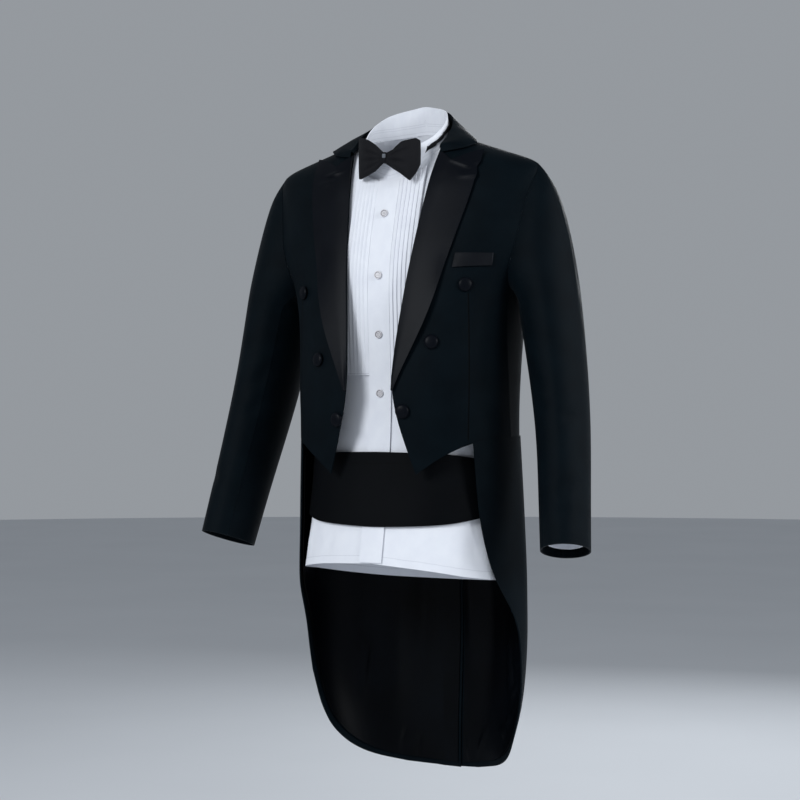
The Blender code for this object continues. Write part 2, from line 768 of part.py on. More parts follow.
def build_coat_collar():
    """Wool collar: a stand round the neck that folds over and lies on the shoulders."""
    rows = []
    for row in COAT_COLLAR:
        edge = COAT.point(row.edge_angle, row.edge_height)
        edge += normal_at(COAT, row.edge_angle, row.edge_height) * (WOOL + COLLAR_GAP)
        rows.append((Vector(row.foot), Vector(row.fold), edge))
    half = []
    for index in range(len(rows) - 2):
        for t in (0.0, 0.5):
            half.append([a.lerp(b, t) for a, b in zip(rows[index], rows[index + 1])])
    half += [rows[-2], rows[-1]]
    line = []
    for foot, fold, edge in half:
        hump = Vector((0.0, 0.0, 0.0045))
        line.append([foot, foot.lerp(fold, 0.55), fold, fold.lerp(edge, 0.28) + hump * 0.55,
                     fold.lerp(edge, 0.64) + hump, edge])
    right = [[Vector((-p.x, p.y, p.z)) for p in section] for section in line[:0:-1]]
    ring = right + line
    inner = []
    for section in ring:
        foot, rise, fold, upper, lower, edge = section
        sideways = Vector((edge.x - foot.x, edge.y - foot.y, 0.0)).normalized() * WOOL
        drop = Vector((0.0, 0.0, -WOOL))
        inner.append([foot + sideways, rise + sideways, fold + drop * 1.2 + sideways * 0.7,
                      upper + drop - sideways * 0.4, lower + drop, edge + drop])
    wall("coat_collar", ring, inner, wool())


def arm_loop():
    """The armhole's points from the shoulder down the front, under and up the back."""
    return ARM_FRONT_LINE[::-1][:-1] + ARM_UNDER_LINE[:-1] + ARM_BACK_LINE[:-1]


def sleeve_rings(form, loop, less=0.0, last=-0.632, set_off=0.0011, droop=1.0):
    """Rings of a set-in sleeve: a cap from the armhole, then ovals down the arm."""
    count = len(loop)

    def centre(height):
        return Vector((between(SLEEVE_RINGS, "height", "across", height),
                       between(SLEEVE_RINGS, "height", "forward", height), height))

    def oval(height):
        axis = (centre(height - 0.004) - centre(height + 0.004)).normalized()
        if height <= SLEEVE_RINGS[-1].height + 0.004:
            axis = (centre(height) - centre(height + 0.008)).normalized()
        turn = math.radians(SLEEVE_TURN)
        out = Vector((math.cos(turn), math.sin(turn), 0.0))
        out = (out - axis * out.dot(axis)).normalized()
        ahead = axis.cross(out).normalized()
        if ahead.y > 0.0:
            ahead = -ahead
        ring = []
        for index in range(count):
            angle = math.tau * index / count
            across = between(SLEEVE_RINGS, "height", "half_across", height) - less
            deep = between(SLEEVE_RINGS, "height", "half_deep", height) - less
            ring.append(centre(height) + out * across * math.cos(angle)
                        + ahead * deep * math.sin(angle))
        return ring, axis

    start = [form.point(*place) for place in loop]
    below, axis = oval(SLEEVE_RINGS[0].height)
    rings = []
    for row in range(CAP_ROWS + 1):
        t = row / CAP_ROWS
        line = []
        for index in range(count):
            angle = math.tau * index / count
            leave = Vector((0.8 + 0.2 * math.cos(angle), -0.6 * math.sin(angle),
                            (-0.5 + 0.2 * math.cos(angle)) * droop)).normalized()
            a = start[index] + leave * (set_off if index else 1.6 * set_off)
            b = below[index]
            reach = (b - a).length
            h00, h10 = 2 * t ** 3 - 3 * t * t + 1, t ** 3 - 2 * t * t + t
            h01, h11 = 3 * t * t - 2 * t ** 3, t ** 3 - t * t
            line.append(a * h00 + b * h01 + leave * (0.46 * reach * h10)
                        + axis * (0.9 * reach * h11))
        rings.append(line)
    for row in range(1, ARM_ROWS + 1):
        height = SLEEVE_RINGS[0].height + (last - SLEEVE_RINGS[0].height) * row / ARM_ROWS
        rings.append(oval(height)[0])
    return rings


def ring_core(rings):
    """A function that gives the middle of the ring nearest to a point's height."""
    centres = [sum(ring, Vector((0, 0, 0))) / len(ring) for ring in rings]

    def inside(point):
        return min(centres, key=lambda c: abs(c.z - point.z))

    return inside


def build_sleeves():
    rings = sleeve_rings(COAT, arm_loop())
    inside = ring_core(rings)
    outer = rings
    inner = moved(rings, -WOOL, inside, closed=True)
    count = len(rings[0])

    def strip(grid, first, last):
        """Columns of the tube from one seam to the next, each end drawn in by half a seam."""
        rows = []
        for ring in grid:
            row = [ring[index % count].copy() for index in range(first, last + 1)]
            for end, beside in ((0, 1), (-1, -2)):
                row[end] += (row[beside] - row[end]).normalized() * SEAM / 2.0
            rows.append(row)
        return rows

    def one_side(side, mark):
        spans = (("sleeve_upper_", BACK_SLEEVE_SEAM, FRONT_SLEEVE_SEAM + count),
                 ("sleeve_under_", FRONT_SLEEVE_SEAM, BACK_SLEEVE_SEAM))
        for name, first, last in spans:
            wall(name + mark, strip(outer, first, last), strip(inner, first, last),
                 wool(), side)

    both_sides(one_side)


def dome(name, place, normal, diameter, height, surface, sides=12, rings=3):
    """A covered button: a low dome on a flat back."""
    mesh = bmesh.new()
    ahead = normal.normalized()
    across = ahead.cross(Vector((0, 0, 1))).normalized()
    up = across.cross(ahead)
    radius = diameter / 2.0
    levels = []
    for level in range(rings):
        turn = math.radians(72.0) * level / (rings - 1)
        size = radius * (math.cos(turn) if level else 1.0)
        rise = height * (0.3 + 0.7 * math.sin(turn)) if level else 0.0
        levels.append([mesh.verts.new(place + ahead * rise + across * size * math.cos(a)
                                      + up * size * math.sin(a))
                       for a in (math.tau * k / sides for k in range(sides))])
    for low, high in zip(levels, levels[1:]):
        for k in range(sides):
            mesh.faces.new((low[k], low[(k + 1) % sides], high[(k + 1) % sides], high[k]))
    mesh.faces.new(levels[0])
    mesh.faces.new(levels[-1])
    return finish(name, mesh, surface)


# The coat hangs a little unevenly, so its buttons have their own heights on each side
ButtonRow = namedtuple("ButtonRow", "across left_height right_height")
COAT_BUTTONS = [
    ButtonRow(0.1390, -0.2370, -0.2430),
    ButtonRow(0.0960, -0.3230, -0.3480),
    ButtonRow(0.0560, -0.4270, -0.4400),
]


def build_coat_buttons():
    def one_side(side, mark):
        for number, row in enumerate(COAT_BUTTONS, 1):
            height = row.left_height if side > 0 else row.right_height
            angle = COAT.angle(row.across, height)
            normal = normal_at(COAT, angle, height)
            seat = COAT.point(angle, height) + normal * 0.0006
            seat.x *= side
            dome("coat_button_%s%d" % (mark, number), seat,
                 Vector((normal.x * side, normal.y, normal.z)), COAT_BUTTON, 0.0052, satin())

    both_sides(one_side)


def neck_point(angle, share, out=0.0):
    """A point of the shirt's collar band: 0 at its seam on the shirt, 1 at its top."""
    turned = (angle + 180.0) % 360.0 - 180.0
    around = abs(turned)
    foot = SHIRT.point(between(NECK_RINGS, "angle", "foot_angle", around),
                       between(NECK_RINGS, "angle", "foot_height", around))
    foot.x = math.copysign(foot.x, turned)
    foot.z += 0.0021
    turn = math.radians(turned)
    away = Vector((math.sin(turn), -math.cos(turn), 0.0))
    top = Vector((0.0, NECK_FORWARD, between(NECK_RINGS, "angle", "high", around)))
    top += away * NECK_RADIUS
    return foot.lerp(top, share) + away * out


SHIRT_SIDE_ROWS = 8
NECK_SIDE = -0.0040
SHIRT_ARM_ROWS = 6
SHIRT_FRONT_COLS = 8
SHIRT_SIDE_ANGLE = 90.0
SHIRT_SHRINK = 0.77


def shirt_arm_line(points, count):
    middle = (90.0, -0.148)
    return sample([Seam(middle[0] + (p[0] - middle[0]) * SHIRT_SHRINK,
                        middle[1] + (p[1] - middle[1]) * SHIRT_SHRINK) for p in points], count)


def shirt_armhole():
    """The shirt's armhole, front and back halves, from below to the shoulder."""
    low = Seam(SHIRT_SIDE_ANGLE, -0.241)
    front = shirt_arm_line([low, Seam(78.0, -0.238)] + ARMHOLE_FRONT[1:], SHIRT_ARM_ROWS)
    back = shirt_arm_line([low, Seam(103.0, -0.222)] + ARMHOLE_BACK, SHIRT_ARM_ROWS)
    return front, back


def shirt_front_grid():
    front_arm, _ = shirt_armhole()
    gap = RIDGE_GAP
    seam_low = Seam(SHIRT_SIDE_ANGLE - gap, -0.680)
    side_line = sample([seam_low, Seam(SHIRT_SIDE_ANGLE - gap, front_arm[0][1])], SHIRT_SIDE_ROWS)
    arm = [(min(angle, SHIRT_SIDE_ANGLE - gap), height) for angle, height in front_arm]
    right = side_line + arm[1:]
    rows = len(right) - 1
    middle = [Seam(0.1, -0.657), Seam(0.1, NECK_RINGS[0].foot_height)]
    left = sample(middle, rows)
    hem = sample([Seam(0.1, -0.657), Seam(30.0, -0.661), Seam(60.0, -0.671), seam_low],
                 SHIRT_FRONT_COLS)
    neck_cols = SHIRT_FRONT_COLS - 2
    neck = sample([Seam(max(p.foot_angle, 0.1), p.foot_height) for p in NECK_RINGS[:5]]
                  + [Seam(SHIRT_SIDE_ANGLE - RIDGE_GAP, NECK_SIDE)], neck_cols)
    tip = right[-1][1]
    shoulder = [(SHIRT_SIDE_ANGLE - gap, neck[-1][1] + (tip - neck[-1][1]) * j / 2.0)
                for j in (1, 2)]
    top = neck + shoulder
    left[0], left[-1], right[0], right[-1] = hem[0], top[0], hem[-1], top[-1]
    return on_form(SHIRT, patch(hem, top, left, right, 3.0))


def shirt_back_grid():
    _, back_arm = shirt_armhole()
    gap = RIDGE_GAP
    seam_low = Seam(SHIRT_SIDE_ANGLE + gap, -0.680)
    side_line = sample([seam_low, Seam(SHIRT_SIDE_ANGLE + gap, back_arm[0][1])], SHIRT_SIDE_ROWS)
    arm = [(max(angle, SHIRT_SIDE_ANGLE + gap), height) for angle, height in back_arm]
    left = side_line + arm[1:]
    rows = len(left) - 1
    neck_height = NECK_RINGS[-1].foot_height
    right = sample([Seam(180.0, -0.700), Seam(180.0, neck_height)], rows)
    half = 6
    shoulder = [(SHIRT_SIDE_ANGLE + gap, left[-1][1] + (NECK_SIDE - left[-1][1]) * j / 2.0)
                for j in (0, 1, 2)]
    neck = sample([Seam(SHIRT_SIDE_ANGLE + gap, NECK_SIDE), Seam(135.0, 0.0080),
                   Seam(180.0, neck_height)], half - 2)
    top = shoulder + neck[1:]
    hem = sample([seam_low, Seam(120.0, -0.690), Seam(150.0, -0.698), Seam(180.0, -0.700)], half)
    left[0], left[-1], right[0], right[-1] = hem[0], top[0], hem[-1], top[-1]
    grid = on_form(SHIRT, patch(hem, top, left, right, 3.0))
    mirrored = [[Vector((-p.x, p.y, p.z)) for p in row[-2::-1]] for row in grid]
    return [row + other for row, other in zip(grid, mirrored)]


def front_strip(inner_across, outer_across, low, high, cols, rows):
    """A grid on the shirt's front between two distances from the middle."""
    grid = []
    for i in range(rows + 1):
        line = []
        for j in range(cols + 1):
            across = inner_across + (outer_across - inner_across) * j / cols
            top = high(across)
            height = low + (top - low) * i / rows
            line.append(SHIRT.point(SHIRT.angle(across, height), height))
        grid.append(line)
    return grid


def collar_line(across):
    """Height of the shirt's neck edge at a distance from the middle, less a margin."""
    return -0.0735 + 0.022 * (abs(across) / 0.06) ** 2


def build_shirt():
    front = shirt_front_grid()
    both_sides(lambda side, mark: cloth("shirt_front_" + mark, front, COTTON, cotton(), side,
                                        level_top=True))
    cloth("shirt_back", shirt_back_grid(), COTTON, cotton(), level_top=True)

    inner_across = PLACKET / 2.0 + SEAM
    outer_across = inner_across + TUCKS * TUCK_PITCH
    cols, rows = TUCKS * 2, 11
    bib_low = -0.372
    grid = []
    profile = []
    for j in range(cols + 1):
        tuck, part = divmod(j, 2)
        across = inner_across + TUCK_PITCH * (tuck + (0.86 if part else 0.0))
        profile.append((across, TUCK_RISE if part else 0.0))
    for i in range(rows + 1):
        line = []
        for across, _ in profile:
            height = bib_low + (collar_line(across) - bib_low) * i / rows
            line.append(SHIRT.point(SHIRT.angle(across, height), height))
        grid.append(line)
    outer = moved(grid, lambda i, j: LAID + 0.0009 + profile[j][1])
    inner = moved(grid, LAID)
    both_sides(lambda side, mark: wall("shirt_bib_" + mark, outer, inner, cotton(), side))

    strip = front_strip(-PLACKET / 2.0, PLACKET / 2.0, -0.656, lambda across: -0.0725, 4, 16)
    cloth("shirt_placket", strip, COTTON, cotton(), 1, out=COTTON + LAID)


SHIRT_BUTTON_HEIGHTS = [-0.125, -0.220, -0.310, -0.400]


def build_shirt_buttons():
    for number, height in enumerate(SHIRT_BUTTON_HEIGHTS, 1):
        seat = SHIRT.point(0.0, height)
        normal = normal_at(SHIRT, 0.0, height)
        seat += normal * (COTTON + LAID + 0.0003)
        dome("shirt_button_%d" % number, seat, normal, SHIRT_BUTTON, 0.0024, pearl(), 10)


COLLAR_COLS = 28


def collar_row(share):
    """Angles of the collar band's columns at a share of its height. It opens upward."""
    start = 1.2 + 2.2 * share ** 2
    return [start + (360.0 - 2.0 * start) * j / COLLAR_COLS for j in range(COLLAR_COLS + 1)]


def neck_inside(point):
    return Vector((0.0, NECK_FORWARD, point.z - 0.03))


def build_shirt_collar():
    """Stiff band round the neck and its two turned-down wing points."""
    grid = [[neck_point(angle, share) for angle in collar_row(share)]
            for share in (0.0, 0.5, 1.0)]
    cloth("shirt_collar", grid, 0.0014, cotton(), inside=neck_inside)

    fold_far, fold_near = 47.0, 4.0
    rows = 4
    wing = []
    for i in range(rows + 1):
        t = i / rows
        line = []
        for j in range(rows + 1):
            u = j / rows
            fold_angle = fold_near + (fold_far - fold_near) * u
            fold = neck_point(fold_angle, 0.985 - 0.16 * (1.0 - u), 0.0018)
            tip = Vector((0.0465, -0.0800, -0.0615))
            point = fold.lerp(tip, 0.94 * t)
            bow = math.sin(math.pi * t) * 0.0025
            ahead = Vector((math.sin(math.radians(fold_angle)),
                            -math.cos(math.radians(fold_angle)), 0.2))
            line.append(point + ahead * bow)
        wing.append(line)
    both_sides(lambda side, mark: cloth("collar_wing_" + mark, wing, 0.0012, cotton(), side,
                                        inside=neck_inside))


def build_shirt_sleeves():
    """Cotton sleeves inside the coat's, and cuffs that end inside its cuffs."""
    front_arm, back_arm = shirt_armhole()
    loop = front_arm[::-1] + back_arm[1:-1]
    sleeve_end = SLEEVE_RINGS[-1].height + CUFF_SET_BACK + CUFF_LENGTH
    rings = sleeve_rings(SHIRT, loop, less=0.0075, last=sleeve_end, set_off=0.0009, droop=0.1)
    inside = ring_core(rings)
    cuffs = []
    for share in (0.0, 0.5, 1.0):
        height = sleeve_end - SEAM * 2.0 - CUFF_LENGTH * share
        cuffs.append(height)

    def one_side(side, mark):
        cloth("shirt_sleeve_" + mark, rings, COTTON, cotton(), side, closed=True, inside=inside)

    both_sides(one_side)
    rows = []
    for height in cuffs:
        full = sleeve_rings(SHIRT, loop, less=0.0078, last=height)
        rows.append(full[-1])
    core = ring_core(rows)
    both_sides(lambda side, mark: cloth("shirt_cuff_" + mark, rows, 0.0020, cotton(), side,
                                        closed=True, inside=core))


# Cummerbund: its upper and lower edges round the waist
BandRow = namedtuple("BandRow", "angle high low")
CUMMERBUND = [
    BandRow(0.0, -0.4895, -0.6030),
    BandRow(35.0, -0.4915, -0.5990),
    BandRow(60.0, -0.4990, -0.5900),
    BandRow(80.0, -0.5080, -0.5780),
    BandRow(96.0, -0.5180, -0.5620),
]


def build_cummerbund():
    cols, rows = 24, 4
    reach = CUMMERBUND[-1].angle
    grid = []
    for i in range(rows + 1):
        line = []
        for j in range(cols + 1):
            angle = -reach + 2.0 * reach * j / cols
            low = between(CUMMERBUND, "angle", "low", abs(angle))
            high = between(CUMMERBUND, "angle", "high", abs(angle))
            line.append(SHIRT.point(angle, low + (high - low) * i / rows))
        grid.append(line)
    out = 0.0058
    cloth("cummerbund", grid, 0.0024, satin(), out=out)
    strap = []
    for share in (0.0, 1.0):
        strap.append([SHIRT.point(reach + 0.08 + (360.0 - 2.0 * reach - 0.16) * j / 16.0,
                                  -0.558 + 0.035 * share) for j in range(17)])
    cloth("cummerbund_strap", strap, 0.0016, satin(), out=0.0052)


# Bow tie: sections of a wing from the knot outward
BowRow = namedtuple("BowRow", "across forward top bottom thick")
BOW = [
    BowRow(0.0098, -0.0935, -0.0215, -0.0400, 0.0062),
    BowRow(0.0190, -0.0950, -0.0170, -0.0460, 0.0105),
    BowRow(0.0300, -0.0940, -0.0120, -0.0560, 0.0125),
    BowRow(0.0410, -0.0900, -0.0085, -0.0645, 0.0115),
    BowRow(0.0500, -0.0850, -0.0065, -0.0690, 0.0085),
    BowRow(0.0545, -0.0820, -0.0070, -0.0680, 0.0040),
]
KNOT_WIDTH = 0.0190
KNOT_HEIGHT = 0.0235
KNOT_MIDDLE = Vector((0.0, -0.0908, -0.0305))


def build_bow():
    around = 10

    def section(row):
        middle = (row.top + row.bottom) / 2.0
        half = (row.top - row.bottom) / 2.0
        ring = []
        for k in range(around):
            turn = math.tau * k / around
            lean = math.copysign(abs(math.sin(turn)) ** 0.6, math.sin(turn))
            ring.append(Vector((row.across, row.forward - row.thick / 2.0 * math.cos(turn),
                                middle + half * lean)))
        return ring

    def one_side(side, mark):
        mesh = bmesh.new()
        rings = [[mesh.verts.new((p.x * side, p.y, p.z)) for p in section(row)] for row in BOW]
        for low, high in zip(rings, rings[1:]):
            for k in range(around):
                mesh.faces.new((low[k], low[(k + 1) % around], high[(k + 1) % around], high[k]))
        mesh.faces.new(rings[0])
        mesh.faces.new(rings[-1])
        finish("bow_wing_" + mark, mesh, satin())

    both_sides(one_side)

    mesh = bmesh.new()
    levels = []
    for x in (-0.5, -0.3, 0.3, 0.5):
        size = 0.86 if abs(x) == 0.5 else 1.0
        ring = []
        for k in range(12):
            turn = math.tau * k / 12.0
            lean = math.copysign(abs(math.sin(turn)) ** 0.7, math.sin(turn))
            face = math.copysign(abs(math.cos(turn)) ** 0.7, math.cos(turn))
            ring.append(mesh.verts.new(KNOT_MIDDLE + Vector((
                x * (KNOT_WIDTH - 2.0 * SEAM), -0.0078 * size * face,
                KNOT_HEIGHT / 2.0 * size * lean))))
        levels.append(ring)
    for low, high in zip(levels, levels[1:]):
        for k in range(12):
            mesh.faces.new((low[k], low[(k + 1) % 12], high[(k + 1) % 12], high[k]))
    mesh.faces.new(levels[0])
    mesh.faces.new(levels[-1])
    finish("bow_knot", mesh, satin())


def build_tie_band():
    """Thin satin band of the tie, round the collar band and under its wings."""
    grid = []
    for share in (0.41, 0.59):
        row = collar_row(share)
        grid.append([neck_point(angle, share, 0.0020) for angle in row[1:-1]])
    cloth("tie_band", grid, 0.0012, satin(), inside=neck_inside)


build_coat_body()
build_lapels()
build_welt()
build_coat_collar()
build_sleeves()
build_coat_buttons()
build_shirt()
build_shirt_buttons()
build_shirt_collar()
build_shirt_sleeves()
build_cummerbund()
build_bow()
build_tie_band()
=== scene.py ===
import math
from collections import namedtuple

import bmesh
import bpy
import numpy as np
from mathutils import Matrix, Vector


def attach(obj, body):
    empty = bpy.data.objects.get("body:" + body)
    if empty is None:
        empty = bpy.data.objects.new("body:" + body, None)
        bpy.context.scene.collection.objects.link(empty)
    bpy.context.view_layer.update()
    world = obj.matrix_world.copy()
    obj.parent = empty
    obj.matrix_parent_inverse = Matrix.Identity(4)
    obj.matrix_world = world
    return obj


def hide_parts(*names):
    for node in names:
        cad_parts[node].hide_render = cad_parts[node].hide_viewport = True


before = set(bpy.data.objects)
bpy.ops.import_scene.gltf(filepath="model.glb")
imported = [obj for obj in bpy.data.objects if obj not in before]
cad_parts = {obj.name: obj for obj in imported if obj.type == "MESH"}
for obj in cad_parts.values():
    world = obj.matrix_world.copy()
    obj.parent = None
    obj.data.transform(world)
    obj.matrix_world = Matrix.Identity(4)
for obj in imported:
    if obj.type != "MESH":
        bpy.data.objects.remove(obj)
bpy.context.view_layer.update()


# The camera stands level with the wearer's waist, three metres off and 27 degrees
# round to the wearer's left, with the dress a little left of the middle of its frame.
CAMERA_TURN = math.radians(27.0)
CAMERA_DISTANCE = 3.0
CAMERA_HEIGHT = -0.41
SENSOR = 36.0
FRAME_PIXELS = 800.0
FOCAL_PIXELS = 1905.0
FRAME_SHIFT = -12.0

camera_data = bpy.data.cameras.new("studio_camera")
camera_data.sensor_width = SENSOR
camera_data.lens = FOCAL_PIXELS * SENSOR / FRAME_PIXELS
camera_data.shift_x = FRAME_SHIFT / FRAME_PIXELS
camera = bpy.data.objects.new("studio_camera", camera_data)
camera.location = (CAMERA_DISTANCE * math.sin(CAMERA_TURN),
                   -CAMERA_DISTANCE * math.cos(CAMERA_TURN), CAMERA_HEIGHT)
camera.rotation_euler = (math.radians(90.0), 0.0, CAMERA_TURN)
bpy.context.collection.objects.link(camera)
bpy.context.scene.camera = camera


# The studio. A pale painted floor far below the hems, a grey room and four soft lamps: one
# high on the camera's left, a lower one on its right, one behind and one beyond the left arm.
FLOOR_HEIGHT = -1.45
FLOOR_RADIUS = 14.0
FLOOR_SIDES = 96
FLOOR_DARK = (0.58, 0.60, 0.63, 1.0)
FLOOR_LIGHT = (0.64, 0.66, 0.69, 1.0)
FLOOR_ROUGHNESS = 0.8
MOTTLE_SCALE = 1.3
ROOM_COLOUR = (0.60, 0.64, 0.69, 1.0)
ROOM_LIGHT = 0.50
LAMP_COLOUR = (0.94, 0.97, 1.0)
Lamp = namedtuple("Lamp", "name place aim size power")
LAMPS = [
    Lamp("key_lamp", (-1.2, -3.6, 1.2), (0.0, 0.0, -0.40), 1.5, 92.0),
    Lamp("side_lamp", (3.6, -0.9, 0.8), (0.1, 0.0, -0.35), 1.4, 62.0),
    Lamp("back_lamp", (-0.6, 3.6, 0.9), (0.0, 0.0, -0.45), 2.0, 48.0),
    Lamp("rim_lamp", (3.0, 1.3, 0.9), (0.25, 0.0, -0.20), 1.0, 42.0),
]

bpy.ops.object.select_all(action="DESELECT")
bpy.ops.mesh.primitive_circle_add(vertices=FLOOR_SIDES, radius=FLOOR_RADIUS, fill_type="TRIFAN",
                                  location=(0.0, 0.0, FLOOR_HEIGHT))
floor = bpy.context.active_object
floor.name = "studio_floor"
paint = bpy.data.materials.new("pale_floor_paint")
paint.use_nodes = True
nodes, links = paint.node_tree.nodes, paint.node_tree.links
surface = nodes["Principled BSDF"]
surface.inputs["Roughness"].default_value = FLOOR_ROUGHNESS
where = nodes.new("ShaderNodeTexCoord")
mottle = nodes.new("ShaderNodeTexNoise")
mottle.inputs["Scale"].default_value = MOTTLE_SCALE
tint = nodes.new("ShaderNodeValToRGB")
tint.color_ramp.elements[0].color = FLOOR_DARK
tint.color_ramp.elements[1].color = FLOOR_LIGHT
links.new(where.outputs["Object"], mottle.inputs["Vector"])
links.new(mottle.outputs["Fac"], tint.inputs["Fac"])
links.new(tint.outputs["Color"], surface.inputs["Base Color"])
floor.data.materials.append(paint)

room = bpy.data.worlds.new("studio_room")
room.use_nodes = True
room.node_tree.nodes["Background"].inputs["Color"].default_value = ROOM_COLOUR
room.node_tree.nodes["Background"].inputs["Strength"].default_value = ROOM_LIGHT
bpy.context.scene.world = room
bpy.context.scene.view_settings.view_transform = "Standard"
for lamp in LAMPS:
    light = bpy.data.lights.new(lamp.name, "AREA")
    light.shape = "DISK"
    light.size = lamp.size
    light.energy = lamp.power
    light.color = LAMP_COLOUR
    stand = bpy.data.objects.new(lamp.name, light)
    stand.location = lamp.place
    towards = Vector(lamp.aim) - Vector(lamp.place)
    stand.rotation_euler = towards.to_track_quat("-Z", "Y").to_euler()
    bpy.context.collection.objects.link(stand)


# The shirt's fronts and back. White cotton poplin, cut as two fronts and a back, sewn at
# the shoulders and sides, with a narrow hem. It hangs close to the body under the coat.
SHIRT_ROUNDS = 2
SHIRT_WHITE = (0.83, 0.85, 0.90)
SHIRT_SHADE = (0.78, 0.80, 0.86)
BODY_RADIUS = 0.170
# Points closer than this are one, faces as square as this are joined in pairs, and an edge
# sharper than the cut angle is where the cloth was cut
JOIN_WITHIN = 0.00002
SQUARE_WITHIN = math.radians(60.0)
CUT_ANGLE = math.radians(38.0)

# A soft line pressed into cloth: where it starts and ends, its half width, how far it
# stands out, or in when negative, and how far its middle bows aside
Fold = namedtuple("Fold", "turn_from height_from turn_to height_to width rise bow")
# How a piece is unrolled: a function, and the length of one unit of turn
Wrap = namedtuple("Wrap", "unroll unit")
# A sewn line, or a line of painted shade: what its place is measured from, where it lies,
# where it starts and ends the other way, its half width, how much it darkens the cloth, and
# the pitch of its stitches or 0
Stitch = namedtuple("Stitch", "measured place start end width shade pitch")
# The cloth that a piece was cut from: width, length and flat area, and how it is held and by what
Cut = namedtuple("Cut", "width length area held rests_on")

SHIRT_FOLDS = [
    Fold(60.0, -0.585, 64.0, -0.665, 0.0080, -0.0035, 0.004),
    Fold(52.0, -0.600, 55.0, -0.670, 0.0070, 0.0025, 0.002),
    Fold(73.0, -0.590, 71.0, -0.680, 0.0080, 0.0030, 0.0),
    Fold(-35.0, -0.590, -38.0, -0.665, 0.0090, -0.0025, 0.003),
    Fold(-58.0, -0.585, -61.0, -0.670, 0.0080, 0.0030, -0.003),
    Fold(34.0, -0.440, 44.0, -0.470, 0.0050, -0.0025, 0.002),
    Fold(40.0, -0.430, 48.0, -0.462, 0.0045, 0.0020, 0.0),
    Fold(150.0, -0.580, 153.0, -0.680, 0.0100, -0.0035, 0.004),
    Fold(-148.0, -0.580, -152.0, -0.680, 0.0100, 0.0030, 0.004),
    Fold(112.0, -0.585, 110.0, -0.680, 0.0090, 0.0028, 0.0),
    Fold(-118.0, -0.585, -115.0, -0.680, 0.0090, -0.0030, 0.0),
]


def cloth_wall(node, rounds):
    """The wall of cloth of a solid: faces joined up, cut edges kept firm, the rest rounded."""
    piece = bpy.data.objects.new(node + "_cloth", bpy.data.meshes.new(node + "_cloth"))
    bpy.context.collection.objects.link(piece)
    shape = bmesh.new()
    shape.from_mesh(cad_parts[node].data)
    bmesh.ops.remove_doubles(shape, verts=shape.verts, dist=JOIN_WITHIN)
    bmesh.ops.join_triangles(shape, faces=shape.faces, angle_face_threshold=CUT_ANGLE,
                             angle_shape_threshold=SQUARE_WITHIN)
    creases = shape.edges.layers.float
    firm = creases.get("crease_edge") or creases.new("crease_edge")
    for edge in shape.edges:
        if len(edge.link_faces) == 2 and edge.calc_face_angle() > CUT_ANGLE:
            edge[firm] = 1.0
    shape.to_mesh(piece.data)
    shape.free()
    for layer in ("custom_normal", "sharp_edge", "sharp_face"):
        if layer in piece.data.attributes:
            piece.data.attributes.remove(piece.data.attributes[layer])
    rounding = piece.modifiers.new("rounding", "SUBSURF")
    rounding.levels = rounding.render_levels = rounds
    bpy.ops.object.select_all(action="DESELECT")
    piece.select_set(True)
    bpy.context.view_layer.objects.active = piece
    bpy.ops.object.modifier_apply(modifier="rounding")
    piece.data.shade_smooth()
    piece.data.set_sharp_from_angle(angle=CUT_ANGLE)
    return piece


def points_of(piece):
    places = np.empty(len(piece.data.vertices) * 3)
    piece.data.vertices.foreach_get("co", places)
    return places.reshape(-1, 3)


def move_points(piece, places):
    piece.data.vertices.foreach_set("co", places.ravel())
    piece.data.update()


LEAST_REACH = 0.000001


def outward(away):
    """The way out at each point, one unit long."""
    return away / np.maximum(np.linalg.norm(away, axis=1), LEAST_REACH)[:, None]


def round_body(points, about):
    """Way round from an angle, 0 in front and 90 at the wearer's left; then height and way out."""
    turn = np.degrees(np.arctan2(points[:, 0], -points[:, 1]))
    across = np.radians((turn - about + 180.0) % 360.0 - 180.0) * BODY_RADIUS
    return across, points[:, 2], outward(points * np.array((1.0, 1.0, 0.0)))


BODY = Wrap(round_body, math.radians(BODY_RADIUS))


def press(piece, folds, wrap):
    """Presses soft folds into a piece, both faces of its cloth together."""
    places = points_of(piece)
    moved = np.zeros(len(places))
    for fold in folds:
        about = (fold.turn_from + fold.turn_to) / 2.0
        across, height, away = wrap.unroll(places, about)
        half = (fold.turn_to - fold.turn_from) / 2.0 * wrap.unit
        line = np.array((2.0 * half, fold.height_to - fold.height_from))
        length = np.linalg.norm(line)
        side = np.array((-line[1], line[0])) / length
        from_start = np.stack((across + half, height - fold.height_from), axis=1)
        along = np.clip(from_start @ line / length ** 2, 0.0, 1.0)
        aside = from_start @ side - fold.bow * 4.0 * along * (1.0 - along)
        fade = (1.0 - np.cos(math.tau * along)) / 2.0
        moved += fold.rise * fade * np.exp(-(aside / fold.width) ** 2)
    places += away * moved[:, None]
    move_points(piece, places)


def lay_out(piece, wrap):
    """Unrolls the cloth's faces, all of four corners, onto a map in metres for its weave."""
    places = points_of(piece)
    turn, height, _ = wrap.unroll(places, 0.0)
    corners = np.empty(len(piece.data.loops), dtype=int)
    piece.data.loops.foreach_get("vertex_index", corners)
    around = turn[corners].reshape(-1, 4)
    whole = 360.0 * wrap.unit
    around = around[:, :1] + (around - around[:, :1] + whole / 2.0) % whole - whole / 2.0
    flat = np.stack((around.ravel(), height[corners]), axis=1)
    piece.data.uv_layers.new(name="cloth")
    piece.data.uv_layers["cloth"].data.foreach_set("uv", flat.ravel())


NAP_ROUGHNESS = 0.45
YARN_WANDER = 0.6
YARN_DETAIL = 1.0
SLUB_DETAIL = 4.0
# How long one wave of the wave texture is at scale 1, and how proud a thread stands, as a
# share of its width
WAVE_LENGTH = math.tau / 20.0
THREAD_RISE = 0.5
